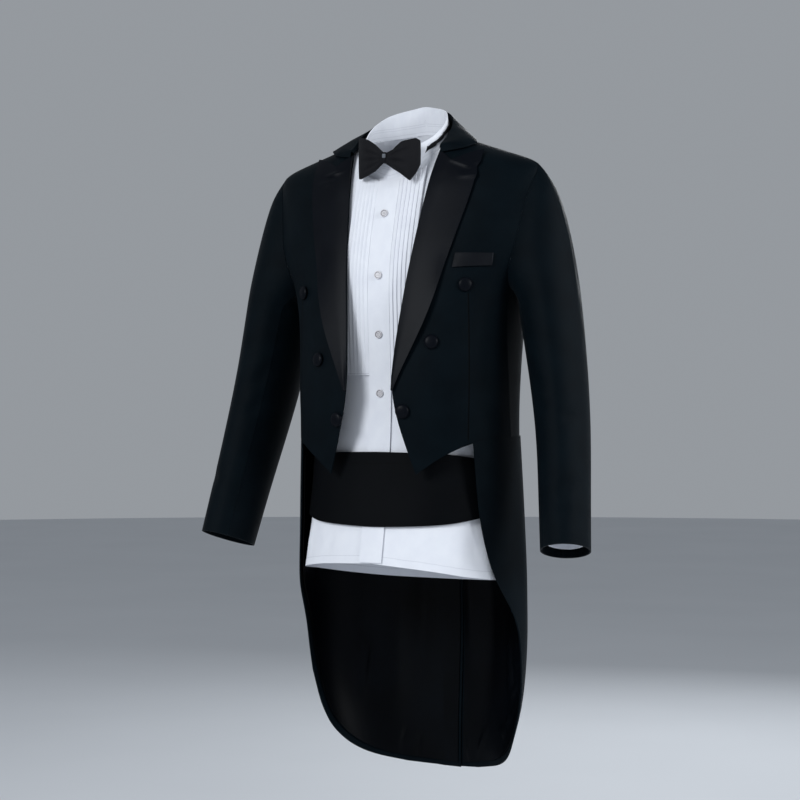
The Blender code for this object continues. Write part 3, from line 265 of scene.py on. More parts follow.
# Where the uneven pattern, from 0 to 1, has its darkest and its lightest yarn
DARK_YARN = 0.30
LIGHT_YARN = 0.72


def woven(name, light, dark, roughness, gloss, sheen, thread, relief, slub):
    """A woven cloth: threads both ways, uneven yarn, a nap that catches the light."""
    made = bpy.data.materials.new(name)
    made.use_nodes = True
    nodes, links = made.node_tree.nodes, made.node_tree.links
    surface = nodes["Principled BSDF"]
    surface.inputs["Roughness"].default_value = roughness
    surface.inputs["Specular IOR Level"].default_value = gloss
    surface.inputs["Sheen Weight"].default_value = sheen
    surface.inputs["Sheen Roughness"].default_value = NAP_ROUGHNESS
    where = nodes.new("ShaderNodeUVMap")
    where.uv_map = "cloth"
    yarns = []
    for direction in ("X", "Y"):
        yarn = nodes.new("ShaderNodeTexWave")
        yarn.bands_direction = direction
        yarn.inputs["Scale"].default_value = WAVE_LENGTH / thread
        yarn.inputs["Distortion"].default_value = YARN_WANDER
        yarn.inputs["Detail"].default_value = YARN_DETAIL
        links.new(where.outputs["UV"], yarn.inputs["Vector"])
        yarns.append(yarn)
    cross = nodes.new("ShaderNodeMath")
    cross.operation = "MULTIPLY"
    links.new(yarns[0].outputs["Fac"], cross.inputs[0])
    links.new(yarns[1].outputs["Fac"], cross.inputs[1])
    uneven = nodes.new("ShaderNodeTexNoise")
    uneven.inputs["Scale"].default_value = 1.0 / slub
    uneven.inputs["Detail"].default_value = SLUB_DETAIL
    links.new(where.outputs["UV"], uneven.inputs["Vector"])
    tint = nodes.new("ShaderNodeValToRGB")
    tint.color_ramp.elements[0].position = DARK_YARN
    tint.color_ramp.elements[0].color = (*dark, 1.0)
    tint.color_ramp.elements[1].position = LIGHT_YARN
    tint.color_ramp.elements[1].color = (*light, 1.0)
    links.new(uneven.outputs["Fac"], tint.inputs["Fac"])
    links.new(tint.outputs["Color"], surface.inputs["Base Color"])
    bump = nodes.new("ShaderNodeBump")
    bump.inputs["Strength"].default_value = relief
    bump.inputs["Distance"].default_value = thread * THREAD_RISE
    links.new(cross.outputs["Value"], bump.inputs["Height"])
    links.new(bump.outputs["Normal"], surface.inputs["Normal"])
    return made


# The lower edge is found strip by strip, each this wide
EDGE_STRIP = 0.012


def note_edge(piece, wrap):
    """Notes on each point how far it lies above the piece's lower edge."""
    turn, height, _ = wrap.unroll(points_of(piece), 0.0)
    strip = np.round(turn / EDGE_STRIP).astype(int)
    first = strip.min()
    lowest = np.full(strip.max() - first + 1, np.inf)
    np.minimum.at(lowest, strip - first, height)
    found = np.flatnonzero(np.isfinite(lowest))
    foot = np.interp(turn, (found + first) * EDGE_STRIP, lowest[found])
    noted = piece.data.attributes.new("above_edge", "FLOAT", "POINT")
    noted.data.foreach_set("value", (height - foot).astype(np.float32))


def draw_over(tree, below, mask, colour):
    """Draws one colour over a material's own wherever the mask is one."""
    mix = tree.nodes.new("ShaderNodeMix")
    mix.data_type = "RGBA"
    under, over = (socket for socket in mix.inputs if socket.type == "RGBA")
    result = next(socket for socket in mix.outputs if socket.type == "RGBA")
    tree.links.new(mask, mix.inputs["Factor"])
    tree.links.new(below, under)
    over.default_value = (*colour, 1.0)
    tree.links.new(result, tree.nodes["Principled BSDF"].inputs["Base Color"])


# The share of each stitch's length that shows no thread, and how deep the groove of a sewn
# line is, in heights of the weave
STITCH_GAP = 0.3
GROOVE_DEPTH = 3.0


def sew(cloth, name, thread, stitches):
    """The same cloth with lines drawn on: a narrow groove along each, darkened to the given colour,
    the thread's on sewn lines and painted shade on lines that stand for shade.
    """
    made = cloth.copy()
    made.name = name
    nodes, links = made.node_tree.nodes, made.node_tree.links

    def work(operation, *values):
        step = nodes.new("ShaderNodeMath")
        step.operation = operation
        for socket, value in zip(step.inputs, values):
            if isinstance(value, float):
                socket.default_value = value
            else:
                links.new(value, socket)
        return step.outputs["Value"]

    flat = nodes.new("ShaderNodeUVMap")
    flat.uv_map = "cloth"
    ways = nodes.new("ShaderNodeSeparateXYZ")
    links.new(flat.outputs["UV"], ways.inputs["Vector"])
    edge = nodes.new("ShaderNodeAttribute")
    edge.attribute_name = "above_edge"
    where = nodes.new("ShaderNodeTexCoord")
    place = nodes.new("ShaderNodeSeparateXYZ")
    links.new(where.outputs["Object"], place.inputs["Vector"])
    around, height = ways.outputs["X"], ways.outputs["Y"]
    measures = {
        "around": (work("ABSOLUTE", around), height),
        "height": (height, work("ABSOLUTE", around)),
        "edge": (edge.outputs["Fac"], around),
        "middle": (work("ABSOLUTE", place.outputs["X"]), height),
    }
    drawn = None
    for stitch in stitches:
        aside, along = measures[stitch.measured]
        off = work("ABSOLUTE", work("SUBTRACT", aside, stitch.place))
        line = nodes.new("ShaderNodeMapRange")
        line.interpolation_type = "SMOOTHSTEP"
        line.inputs["From Max"].default_value = stitch.width
        line.inputs["To Min"].default_value = stitch.shade
        line.inputs["To Max"].default_value = 0.0
        links.new(off, line.inputs["Value"])
        middle = (stitch.start + stitch.end) / 2.0
        half = abs(stitch.end - stitch.start) / 2.0
        within = work("LESS_THAN", work("ABSOLUTE", work("SUBTRACT", along, middle)), half)
        mark = work("MULTIPLY", line.outputs["Result"], within)
        if stitch.pitch:
            gap = work("FRACT", work("DIVIDE", along, stitch.pitch))
            mark = work("MULTIPLY", mark, work("GREATER_THAN", gap, STITCH_GAP))
        drawn = mark if drawn is None else work("MAXIMUM", drawn, mark)
    own_colour = nodes["Principled BSDF"].inputs["Base Color"].links[0].from_socket
    draw_over(made.node_tree, own_colour, drawn, thread)
    bump = next(node for node in nodes if node.bl_idname == "ShaderNodeBump")
    weave = bump.inputs["Height"].links[0].from_socket
    groove = work("MULTIPLY", drawn, GROOVE_DEPTH)
    links.new(work("SUBTRACT", weave, groove), bump.inputs["Height"])
    return made


def wear(piece, cloth, node):
    """Gives a finished piece its cloth, and its place on the figure instead of its solid."""
    piece.data.materials.append(cloth)
    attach(piece, "root")
    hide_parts(node)


HEM = 0.012
# The start and end of a line that runs the whole way
WHOLE_WAY = (-1.0, 1.0)
# The left front hangs a little longer than the right: below which height, over how much of
# it, how much longer at the side, and at which turn from the middle that is reached
LONG_FROM = -0.605
LONG_OVER = 0.055
LONG_EDGE = 0.0080
LONG_TURN = 55.0
# The grey of the shirt's sewn lines, also used for the painted shade beside the bib's tucks and on
# the collar band
SHIRT_THREAD_AND_SHADE = (0.42, 0.43, 0.49)
poplin = woven("white_cotton_poplin", SHIRT_WHITE, SHIRT_SHADE, roughness=0.75, gloss=0.25,
               sheen=0.10, thread=0.0004, relief=0.25, slub=0.03)
hemmed_poplin = sew(poplin, "hemmed_cotton_poplin", SHIRT_THREAD_AND_SHADE,
                    [Stitch("edge", HEM, *WHOLE_WAY, 0.0009, 0.50, 0.0030)])
SHIRT_CUTS = {
    "shirt_front_L": Cut(0.250, 0.690, 0.148, "hung", ("shirt_back",)),
    "shirt_front_R": Cut(0.250, 0.690, 0.148, "hung", ("shirt_back",)),
    "shirt_back": Cut(0.520, 0.730, 0.325, "hung", ("shirt_front_L", "shirt_front_R")),
}
for node, cut in SHIRT_CUTS.items():
    piece = cloth_wall(node, SHIRT_ROUNDS)
    press(piece, SHIRT_FOLDS, BODY)
    if node == "shirt_front_L":
        places = points_of(piece)
        aside = np.degrees(np.arctan2(places[:, 0], -places[:, 1]))
        lowered = np.clip((LONG_FROM - places[:, 2]) / LONG_OVER, 0.0, 1.0)
        places[:, 2] -= LONG_EDGE * lowered * np.clip(aside / LONG_TURN, 0.0, 1.0)
        move_points(piece, places)
    lay_out(piece, BODY)
    note_edge(piece, BODY)
    wear(piece, hemmed_poplin, node)


# The tucked bibs and the placket. Each bib is a panel of the same cotton with six narrow
# tucks pressed outward, with a grey line of painted shade beside each tuck, and the placket
# is a folded strip that the buttons go through.
TUCKS = 6
TUCK_PITCH = 0.0067
FIRST_TUCK = 0.0189
# Where a tuck's pressed edge lies in its pitch, from 0 to 1, and the heights of all such lines
TUCK_EDGE = 0.93
TUCK_ENDS = (-0.40, 0.0)
BIB_END = -0.3695
BIB_REACH = (0.0, 0.2)
# How dark the painted shade beside a tuck is: the left bib's tucks turn away from the light,
# so their painted shade is darker
PAINTED_TUCK_SHADES = {"L": 0.62, "R": 0.22}


def tucked(name, shade):
    """Poplin with a grey line of painted shade beside each tuck, and a row of stitches across its
    end.
    """
    lines = [Stitch("height", BIB_END, *BIB_REACH, 0.0009, 0.75, 0.0030)]
    for number in range(TUCKS):
        place = FIRST_TUCK + TUCK_PITCH * (number + TUCK_EDGE)
        # Each of these lines is painted shade beside a tuck
        lines.append(Stitch("middle", place, *TUCK_ENDS, 0.0010, shade, 0.0))
    return sew(poplin, name, SHIRT_THREAD_AND_SHADE, lines)


TRIM_CLOTHS = {
    "shirt_bib_L": tucked("left_tucked_poplin_painted_shade", PAINTED_TUCK_SHADES["L"]),
    "shirt_bib_R": tucked("right_tucked_poplin_painted_shade", PAINTED_TUCK_SHADES["R"]),
    "shirt_placket": poplin,
}
TRIM_CUTS = {
    "shirt_bib_L": Cut(0.045, 0.325, None, "laid", ("shirt_front_L",)),
    "shirt_bib_R": Cut(0.045, 0.325, None, "laid", ("shirt_front_R",)),
    "shirt_placket": Cut(0.040, 0.590, None, "laid", ("shirt_front_L", "shirt_front_R")),
}
for node, cut in TRIM_CUTS.items():
    piece = cloth_wall(node, SHIRT_ROUNDS)
    press(piece, SHIRT_FOLDS, BODY)
    lay_out(piece, BODY)
    wear(piece, TRIM_CLOTHS[node], node)


# The shirt's collar: a stiff band round the neck with two wings that fold down in front.
# It is starched cotton, with three rows of stitches round the lower half of the band, whose
# grey lines also darken the band beside the wings as painted shade.
COLLAR_DROP = 0.0040
# How sharply the drop fades out above the band's foot
DROP_POWER = 4
NECK_FORWARD = -0.018
# Degrees from the middle to the band's ends at its foot, and how much more at its top
BAND_OPENING = (1.2, 2.2)
BAND_MEETS = 8.0
# The least angles, in degrees, that the closing works with, so that no point crosses the middle
LEAST_LEFT = 0.03
LEAST_ANGLE = 0.1
WING_TURN = math.radians(8.0)
WING_LIFT = 0.0010
WING_FOLD = (-0.060, -0.025)
WING_REACH = 0.03
# The band's lower and upper edge round the neck
NeckEdge = namedtuple("NeckEdge", "angle low high")
NECK_EDGES = [
    NeckEdge(0.0, -0.069, -0.029),
    NeckEdge(38.0, -0.056, -0.020),
    NeckEdge(56.0, -0.042, -0.011),
    NeckEdge(74.0, -0.023, 0.002),
    NeckEdge(92.0, -0.004, 0.0175),
    NeckEdge(135.0, 0.008, 0.046),
    NeckEdge(180.0, 0.015, 0.0585),
]
# Heights of the stitch rows above the band's foot; their grey lines are also painted shade on the
# band
BAND_STITCHES_AND_SHADE = (0.0055, 0.0145, 0.0180)
starched_poplin = sew(poplin, "starched_cotton_poplin", SHIRT_THREAD_AND_SHADE,
                      [Stitch("edge", above, *WHOLE_WAY, 0.0008, 0.34, 0.0)
                       for above in BAND_STITCHES_AND_SHADE])
piece = cloth_wall("shirt_collar", SHIRT_ROUNDS)
places = points_of(piece)
angle = np.degrees(np.abs(np.arctan2(places[:, 0], NECK_FORWARD - places[:, 1])))
edge_angle, edge_low, edge_high = np.array(NECK_EDGES).T
low = np.interp(angle, edge_angle, edge_low)
high = np.interp(angle, edge_angle, edge_high)
share = np.clip((places[:, 2] - low) / (high - low), 0.0, 1.0)
places[:, 2] -= COLLAR_DROP * (1.0 - share) ** DROP_POWER
opening = BAND_OPENING[0] + BAND_OPENING[1] * share ** 2
left = np.maximum(angle - opening * (1.0 - share), LEAST_LEFT)
closed = left / np.maximum(angle, LEAST_ANGLE)
places[:, 0] = np.where(angle < BAND_MEETS, places[:, 0] * closed, places[:, 0])
move_points(piece, places)
lay_out(piece, BODY)
note_edge(piece, BODY)
wear(piece, starched_poplin, "shirt_collar")

for mark, side in (("L", 1.0), ("R", -1.0)):
    piece = cloth_wall("collar_wing_" + mark, SHIRT_ROUNDS)
    places = points_of(piece)
    raised = np.clip((places[:, 2] - WING_FOLD[0]) / (WING_FOLD[1] - WING_FOLD[0]), 0.0, 1.0)
    spin = WING_TURN * side * raised * np.clip(np.abs(places[:, 0]) / WING_REACH, 0.0, 1.0)
    from_neck = places[:, :2] - (0.0, NECK_FORWARD)
    reach = np.linalg.norm(from_neck, axis=1)
    heading = np.arctan2(from_neck[:, 0], -from_neck[:, 1]) + spin
    places[:, 0] = np.sin(heading) * (reach + WING_LIFT * raised)
    places[:, 1] = NECK_FORWARD - np.cos(heading) * (reach + WING_LIFT * raised)
    move_points(piece, places)
    lay_out(piece, BODY)
    wear(piece, poplin, "collar_wing_" + mark)


# The shirt's sleeves and cuffs. Tubes of the same cotton that run inside the coat's
# sleeves, each with a folded double cuff a little above the coat's own.
SLEEVE_RADIUS = 0.050
TUBE_ROUNDS = 1
# The middle of a sleeve from its hem up: its height, how far out, and how far back, or
# forward when negative
AXIS_HEIGHT, AXIS_OUT, AXIS_BACK = np.array([
    (-0.700, 0.3010, -0.0960),
    (-0.632, 0.2925, -0.0770),
    (-0.550, 0.2815, -0.0540),
    (-0.480, 0.2720, -0.0340),
    (-0.410, 0.2610, -0.0175),
    (-0.345, 0.2505, -0.0080),
    (-0.270, 0.2385, -0.0030),
    (-0.150, 0.2220, -0.0030),
    (-0.050, 0.2050, -0.0030),
    (0.050, 0.1900, -0.0030),
]).T


def round_sleeve(side):
    """Unrolls a sleeve, 0 being its outer side and 90 its front: 1 is the left one, -1 the right."""

    def unroll(points, about):
        height = points[:, 2]
        out = points[:, 0] - np.interp(height, AXIS_HEIGHT, AXIS_OUT) * side
        back = points[:, 1] - np.interp(height, AXIS_HEIGHT, AXIS_BACK)
        away = np.stack((out, back, np.zeros(len(points))), axis=1)
        turn = np.degrees(np.arctan2(-away[:, 1], away[:, 0] * side))
        across = np.radians((turn - about + 180.0) % 360.0 - 180.0) * SLEEVE_RADIUS
        return across, height, outward(away)

    return Wrap(unroll, math.radians(SLEEVE_RADIUS))


ARMS = {"L": round_sleeve(1), "R": round_sleeve(-1)}
for mark, arm in ARMS.items():
    cuts = {
        "shirt_sleeve_" + mark: Cut(0.275, 0.520, 0.125, "hung",
                                    ("shirt_front_" + mark, "shirt_back")),
        "shirt_cuff_" + mark: Cut(0.185, 0.083, 0.0146, "folded", ("shirt_sleeve_" + mark,)),
    }
    for node, cut in cuts.items():
        piece = cloth_wall(node, TUBE_ROUNDS if "sleeve" in node else SHIRT_ROUNDS)
        lay_out(piece, arm)
        wear(piece, poplin, node)


# The cummerbund: a wide sash of dull black satin across the waist, held at the back by
# a plain strap of the same cloth.
SASH_BLACK = (0.0011, 0.0017, 0.0026)
SASH_DEEP = (0.0007, 0.0011, 0.0019)
SASH_THREAD = (0.0002, 0.0002, 0.0003)
SASH_ROUNDS = 3
STRAP_ROUNDS = 2
SASH_LOWER_LINE = 0.0032
SASH_UPPER_LINE = 0.0950
# The sash lies over the shirt, and takes on its folds at the waist and round the back
SASH_FOLDS = SHIRT_FOLDS[5:]
dull_satin = woven("dull_black_satin", SASH_BLACK, SASH_DEEP, roughness=0.55, gloss=0.05,
                   sheen=0.01, thread=0.0004, relief=0.3, slub=0.05)
sewn_satin = sew(dull_satin, "sewn_black_satin", SASH_THREAD, [
    Stitch("edge", SASH_LOWER_LINE, *WHOLE_WAY, 0.0008, 0.8, 0.0),
    Stitch("edge", SASH_UPPER_LINE, *WHOLE_WAY, 0.0010, 0.5, 0.0),
])
SASH_CUTS = {
    "cummerbund": Cut(0.530, 0.115, 0.049, "stretched", ("shirt_front_L", "shirt_front_R")),
    "cummerbund_strap": Cut(0.420, 0.036, None, "stretched", ("shirt_back",)),
}
for node, cut in SASH_CUTS.items():
    sash = node == "cummerbund"
    piece = cloth_wall(node, SASH_ROUNDS if sash else STRAP_ROUNDS)
    press(piece, SASH_FOLDS, BODY)
    lay_out(piece, BODY)
    if sash:
        note_edge(piece, BODY)
    wear(piece, sewn_satin if sash else dull_satin, node)


# The bow tie: two soft wings gathered under a wrapped knot with a small pale grey patch on it
# as a painted highlight, and a thin band round the collar. Its silk has fine ribs, and pleats
# run out from the knot.
TIE_BLACK = (0.0068, 0.0070, 0.0088)
TIE_DEEP = (0.0052, 0.0054, 0.0070)
TIE_ROUNDS = 3


def face_on(points, about):
    """The bow is seen flat from the front: way across, height and the way out."""
    away = np.zeros_like(points)
    away[:, 1] = -1.0
    return points[:, 0] - about, points[:, 2], away


FRONT = Wrap(face_on, 1.0)
# One wing of the solid, and the same wing as it is tied: across, top and bottom edge
WingRow = namedtuple("WingRow", "across top bottom")
CUT_WING = [
    WingRow(0.0098, -0.0215, -0.0400),
    WingRow(0.0190, -0.0170, -0.0460),
    WingRow(0.0300, -0.0120, -0.0560),
    WingRow(0.0410, -0.0085, -0.0645),
    WingRow(0.0500, -0.0065, -0.0690),
    WingRow(0.0545, -0.0070, -0.0680),
]
TIED_WINGS = {
    "L": [
        WingRow(0.0020, -0.0325, -0.0480),
        WingRow(0.0155, -0.0270, -0.0570),
        WingRow(0.0298, -0.0150, -0.0665),
        WingRow(0.0420, -0.0118, -0.0770),
        WingRow(0.0505, -0.0100, -0.0640),
        WingRow(0.0560, -0.0140, -0.0520),
    ],
    "R": [
        WingRow(0.0020, -0.0300, -0.0480),
        WingRow(0.0150, -0.0175, -0.0590),
        WingRow(0.0270, -0.0095, -0.0655),
        WingRow(0.0370, -0.0058, -0.0685),
        WingRow(0.0455, -0.0035, -0.0700),
        WingRow(0.0500, -0.0045, -0.0690),
    ],
}
BOW_PLEATS = {
    "L": [
        Fold(0.000, -0.0400, 0.050, -0.0270, 0.0022, -0.0030, 0.001),
        Fold(0.000, -0.0410, 0.046, -0.0500, 0.0024, -0.0034, 0.0),
        Fold(0.000, -0.0430, 0.034, -0.0680, 0.0018, -0.0020, -0.001),
        Fold(0.000, -0.0370, 0.034, -0.0190, 0.0018, -0.0018, 0.0),
    ],
    "R": [
        Fold(0.000, -0.0390, -0.046, -0.0230, 0.0022, -0.0028, 0.0),
        Fold(0.000, -0.0400, -0.044, -0.0420, 0.0024, -0.0034, 0.001),
        Fold(0.000, -0.0420, -0.042, -0.0600, 0.0020, -0.0024, 0.001),
    ],
}
# The knot is drawn in and lowered, and the band rises behind the wings to the knot, and is
# made wider ring by ring, where it shows beside the collar
KNOT_MIDDLE = -0.0305
KNOT_DROP = 0.0085
KNOT_NARROW = 0.40
KNOT_SHORT = 0.78
BAND_RISE = 0.0120
BAND_HIDDEN = 0.045
BAND_STEP = 4.0
BAND_WIDEN = 1.6
# Only what lies ahead of this rises
BAND_FRONT = -0.03
BAND_ROUNDS = 2


def tie_wing(piece, mark):
    """Draws a wing's edges to where they lie when it is tied, and gathers it at the knot."""
    places = points_of(piece)
    across = np.abs(places[:, 0])
    cut_across, cut_top, cut_low = np.array(CUT_WING).T
    tied_across, tied_top, tied_low = np.array(TIED_WINGS[mark]).T
    top = np.interp(across, cut_across, cut_top)
    low = np.interp(across, cut_across, cut_low)
    share = (places[:, 2] - low) / (top - low)
    moved = np.interp(across, cut_across, tied_across)
    new_top = np.interp(moved, tied_across, tied_top)
    new_low = np.interp(moved, tied_across, tied_low)
    places[:, 0] = np.copysign(moved, places[:, 0])
    places[:, 2] = new_low + (new_top - new_low) * share
    move_points(piece, places)


grosgrain = woven("ribbed_tie_silk", TIE_BLACK, TIE_DEEP, roughness=0.62, gloss=0.10,
                  sheen=0.03, thread=0.0005, relief=0.4, slub=0.02)
for mark in ("L", "R"):
    node = "bow_wing_" + mark
    piece = cloth_wall(node, TIE_ROUNDS)
    tie_wing(piece, mark)
    press(piece, BOW_PLEATS[mark], FRONT)
    lay_out(piece, BODY)
    wear(piece, grosgrain, node)

piece = cloth_wall("bow_knot", TIE_ROUNDS)
places = points_of(piece)
places[:, 0] *= KNOT_NARROW
places[:, 2] = (places[:, 2] - KNOT_MIDDLE) * KNOT_SHORT + KNOT_MIDDLE - KNOT_DROP
move_points(piece, places)
lay_out(piece, BODY)
wear(piece, grosgrain, "bow_knot")
knot_front = float(places[:, 1].min())

# A small pale grey patch in the middle of the knot, a painted highlight on its front, its own
# middle just ahead of the knot's front
KNOT_HIGHLIGHT_ACROSS = 0.0018
KNOT_HIGHLIGHT_HEIGHT = -0.0368
KNOT_HIGHLIGHT_AHEAD = 0.0002
KNOT_HIGHLIGHT_SIZE = (0.0056, 0.0014, 0.0062)
KNOT_HIGHLIGHT_SOFTNESS = 0.0005
KNOT_HIGHLIGHT_GREY = (0.135, 0.150, 0.170)
KNOT_HIGHLIGHT_DEEP = (0.075, 0.085, 0.100)
bpy.ops.object.select_all(action="DESELECT")
bpy.ops.mesh.primitive_cube_add(size=1.0,
                                location=(KNOT_HIGHLIGHT_ACROSS, knot_front - KNOT_HIGHLIGHT_AHEAD, KNOT_HIGHLIGHT_HEIGHT))
# This patch is a painted highlight on the front of the knot
clip = bpy.context.active_object
clip.name = "bow_knot_painted_highlight"
clip.scale = KNOT_HIGHLIGHT_SIZE
bpy.ops.object.transform_apply(location=True, rotation=True, scale=True)
softened = clip.modifiers.new("softened", "BEVEL")
softened.width = KNOT_HIGHLIGHT_SOFTNESS
softened.segments = 3
bpy.ops.object.modifier_apply(modifier="softened")
clip.data.shade_smooth()
clip.data.uv_layers[0].name = "cloth"
knot_highlight_paint = woven("grey_knot_painted_highlight", KNOT_HIGHLIGHT_GREY, KNOT_HIGHLIGHT_DEEP, roughness=0.45, gloss=0.3,
                    sheen=0.0, thread=0.05, relief=0.2, slub=0.2)
clip.data.materials.append(knot_highlight_paint)
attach(clip, "root")

piece = cloth_wall("tie_band", BAND_ROUNDS)
places = points_of(piece)
in_front = places[:, 1] < BAND_FRONT
near = np.clip(1.0 - np.abs(places[:, 0]) / BAND_HIDDEN, 0.0, 1.0) * in_front
places[:, 2] += BAND_RISE * near * near * (3.0 - 2.0 * near)
turn = np.round(np.degrees(np.arctan2(places[:, 0], -places[:, 1])) / BAND_STEP).astype(int)
for step in np.unique(turn):
    ring = turn == step
    middle = (places[ring, 2].max() + places[ring, 2].min()) / 2.0
    places[ring, 2] = middle + (places[ring, 2] - middle) * BAND_WIDEN
move_points(piece, places)
lay_out(piece, BODY)
wear(piece, grosgrain, "tie_band")


# The coat's body. Black wool, smooth and fine: two fronts cut away at the waist, two
# side bodies, two backs with a lapped vent, and a tail hung from the waist seam.
WOOL_LIGHT = (0.0016, 0.0044, 0.0068)
WOOL_DARK = (0.0009, 0.0028, 0.0046)
COAT_ROUNDS = 3
COAT_FOLDS = [
    Fold(71.0, -0.215, 69.0, -0.440, 0.0240, -0.0040, 0.0),
    Fold(68.0, -0.415, 73.0, -0.470, 0.0100, -0.0022, 0.003),
    Fold(-70.0, -0.225, -71.0, -0.430, 0.0220, -0.0036, 0.002),
    Fold(-66.0, -0.405, -74.0, -0.462, 0.0100, -0.0020, 0.003),
    Fold(122.0, -0.110, 134.0, -0.300, 0.0180, -0.0036, 0.008),
    Fold(-123.0, -0.115, -133.0, -0.290, 0.0180, -0.0033, -0.007),
    Fold(148.0, -0.405, 118.0, -0.385, 0.0110, -0.0022, 0.004),
    Fold(-146.0, -0.400, -116.0, -0.390, 0.0110, -0.0020, -0.004),
    Fold(170.0, -0.360, 140.0, -0.425, 0.0100, -0.0018, 0.003),
    Fold(-168.0, -0.365, -142.0, -0.420, 0.0100, -0.0018, -0.003),
    Fold(146.0, -0.500, 143.0, -1.000, 0.0220, 0.0050, 0.0),
    Fold(-147.0, -0.500, -142.0, -1.000, 0.0220, 0.0046, 0.0),
    Fold(118.0, -0.500, 115.0, -0.960, 0.0240, -0.0045, 0.004),
    Fold(-116.0, -0.500, -118.0, -0.960, 0.0240, -0.0042, 0.004),
    Fold(95.0, -0.500, 97.0, -0.860, 0.0200, 0.0030, 0.0),
    Fold(-94.0, -0.500, -98.0, -0.860, 0.0200, 0.0030, 0.0),
]
WOOL_THREAD = (0.0001, 0.0002, 0.0003)
DART_TURN = 56.4
DART_ENDS = (-0.471, -0.250)
FRONT_EDGE_LINE = 0.0030
# The skirt closes up to the waist seam over the last stretch below it, and to the back's
# seam over its last turn: how far, from which height and turn, and over how much
SEAM_CLOSED = 0.0008
CLOSES_ABOVE = -0.60
CLOSES_OVER = 0.10
CLOSES_BEHIND = 100.0
CLOSES_ROUND = 30.0
wool = woven("fine_black_wool", WOOL_LIGHT, WOOL_DARK, roughness=0.50, gloss=0.035,
             sheen=0.012, thread=0.0005, relief=0.35, slub=0.04)
darted_wool = sew(wool, "darted_black_wool", WOOL_THREAD, [
    Stitch("around", DART_TURN * BODY.unit, *DART_ENDS, 0.0016, 0.95, 0.0),
    Stitch("edge", FRONT_EDGE_LINE, *WHOLE_WAY, 0.0010, 0.5, 0.0),
])
for mark in ("L", "R"):
    front, side, skirt, back = (part + mark for part in
                                ("coat_front_", "coat_side_", "coat_skirt_", "coat_back_"))
    cuts = {
        front: Cut(0.205, 0.530, 0.088, "hung", ("shirt_front_" + mark, back)),
        side: Cut(0.190, 0.285, 0.039, "hung", (front, back)),
        skirt: Cut(0.270, 0.545, 0.113, "hung", (front, side)),
        back: Cut(0.290, 1.015, 0.130 if mark == "L" else 0.144, "hung", ("shirt_back", front)),
    }
    for node, cut in cuts.items():
        piece = cloth_wall(node, COAT_ROUNDS)
        press(piece, COAT_FOLDS, BODY)
        if node == skirt:
            places = points_of(piece)
            upward = np.clip((places[:, 2] - CLOSES_ABOVE) / CLOSES_OVER, 0.0, 1.0)
            places[:, 2] += SEAM_CLOSED * upward
            heading = np.arctan2(places[:, 0], -places[:, 1])
            reach = np.linalg.norm(places[:, :2], axis=1)
            turn = np.degrees(np.abs(heading))
            backward = np.clip((turn - CLOSES_BEHIND) / CLOSES_ROUND, 0.0, 1.0)
            heading += np.sign(heading) * backward * SEAM_CLOSED / BODY_RADIUS
            places[:, 0] = np.sin(heading) * reach
            places[:, 1] = -np.cos(heading) * reach
            move_points(piece, places)
        lay_out(piece, BODY)
        if node == front:
            note_edge(piece, BODY)
        wear(piece, darted_wool if node == front else wool, node)


# The tail linings: black satin inside each tail, caught along its edges, so that it
# puckers a little beside the seams.
LINING_BLACK = (0.0010, 0.0018, 0.0032)
LINING_DEEP = (0.0002, 0.0004, 0.0008)
LINING_FOLDS = [
    Fold(128.0, -0.760, 118.0, -0.920, 0.0060, -0.0030, 0.003),
    Fold(124.0, -0.800, 116.0, -0.900, 0.0050, -0.0020, 0.002),
    Fold(106.0, -0.770, 118.0, -0.800, 0.0048, -0.0034, 0.002),
    Fold(107.0, -0.815, 119.0, -0.835, 0.0044, -0.0028, 0.002),
    Fold(108.0, -0.850, 121.0, -0.885, 0.0048, -0.0034, 0.003),
    Fold(111.0, -0.900, 124.0, -0.925, 0.0044, -0.0026, 0.002),
    Fold(118.0, -0.945, 130.0, -0.930, 0.0048, -0.0030, 0.002),
    Fold(140.0, -0.930, 150.0, -0.990, 0.0050, -0.0022, 0.002),
    Fold(160.0, -0.950, 156.0, -1.000, 0.0050, -0.0022, 0.0),
    Fold(-160.0, -0.950, -157.0, -1.000, 0.0050, -0.0024, 0.0),
    Fold(-150.0, -0.940, -144.0, -0.995, 0.0050, -0.0022, 0.002),
    Fold(-128.0, -0.780, -120.0, -0.910, 0.0060, -0.0026, 0.003),
    Fold(-165.0, -0.560, -160.0, -0.900, 0.0180, -0.0040, 0.0),
    Fold(160.0, -0.560, 158.0, -0.900, 0.0160, -0.0040, 0.0),
]
LINING_ROUNDS = 3
lining_satin = woven("black_lining_satin", LINING_BLACK, LINING_DEEP, roughness=0.36, gloss=0.06,
                     sheen=0.0, thread=0.0003, relief=0.15, slub=0.16)
# Width, length and flat area
LINING_SIZES = {"L": (0.290, 0.500, 0.113), "R": (0.360, 0.500, 0.141)}
for mark, sizes in LINING_SIZES.items():
    node = "tail_lining_" + mark
    piece = cloth_wall(node, LINING_ROUNDS)
    press(piece, COAT_FOLDS, BODY)
    press(piece, LINING_FOLDS, BODY)
    lay_out(piece, BODY)
    wear(piece, lining_satin, node)


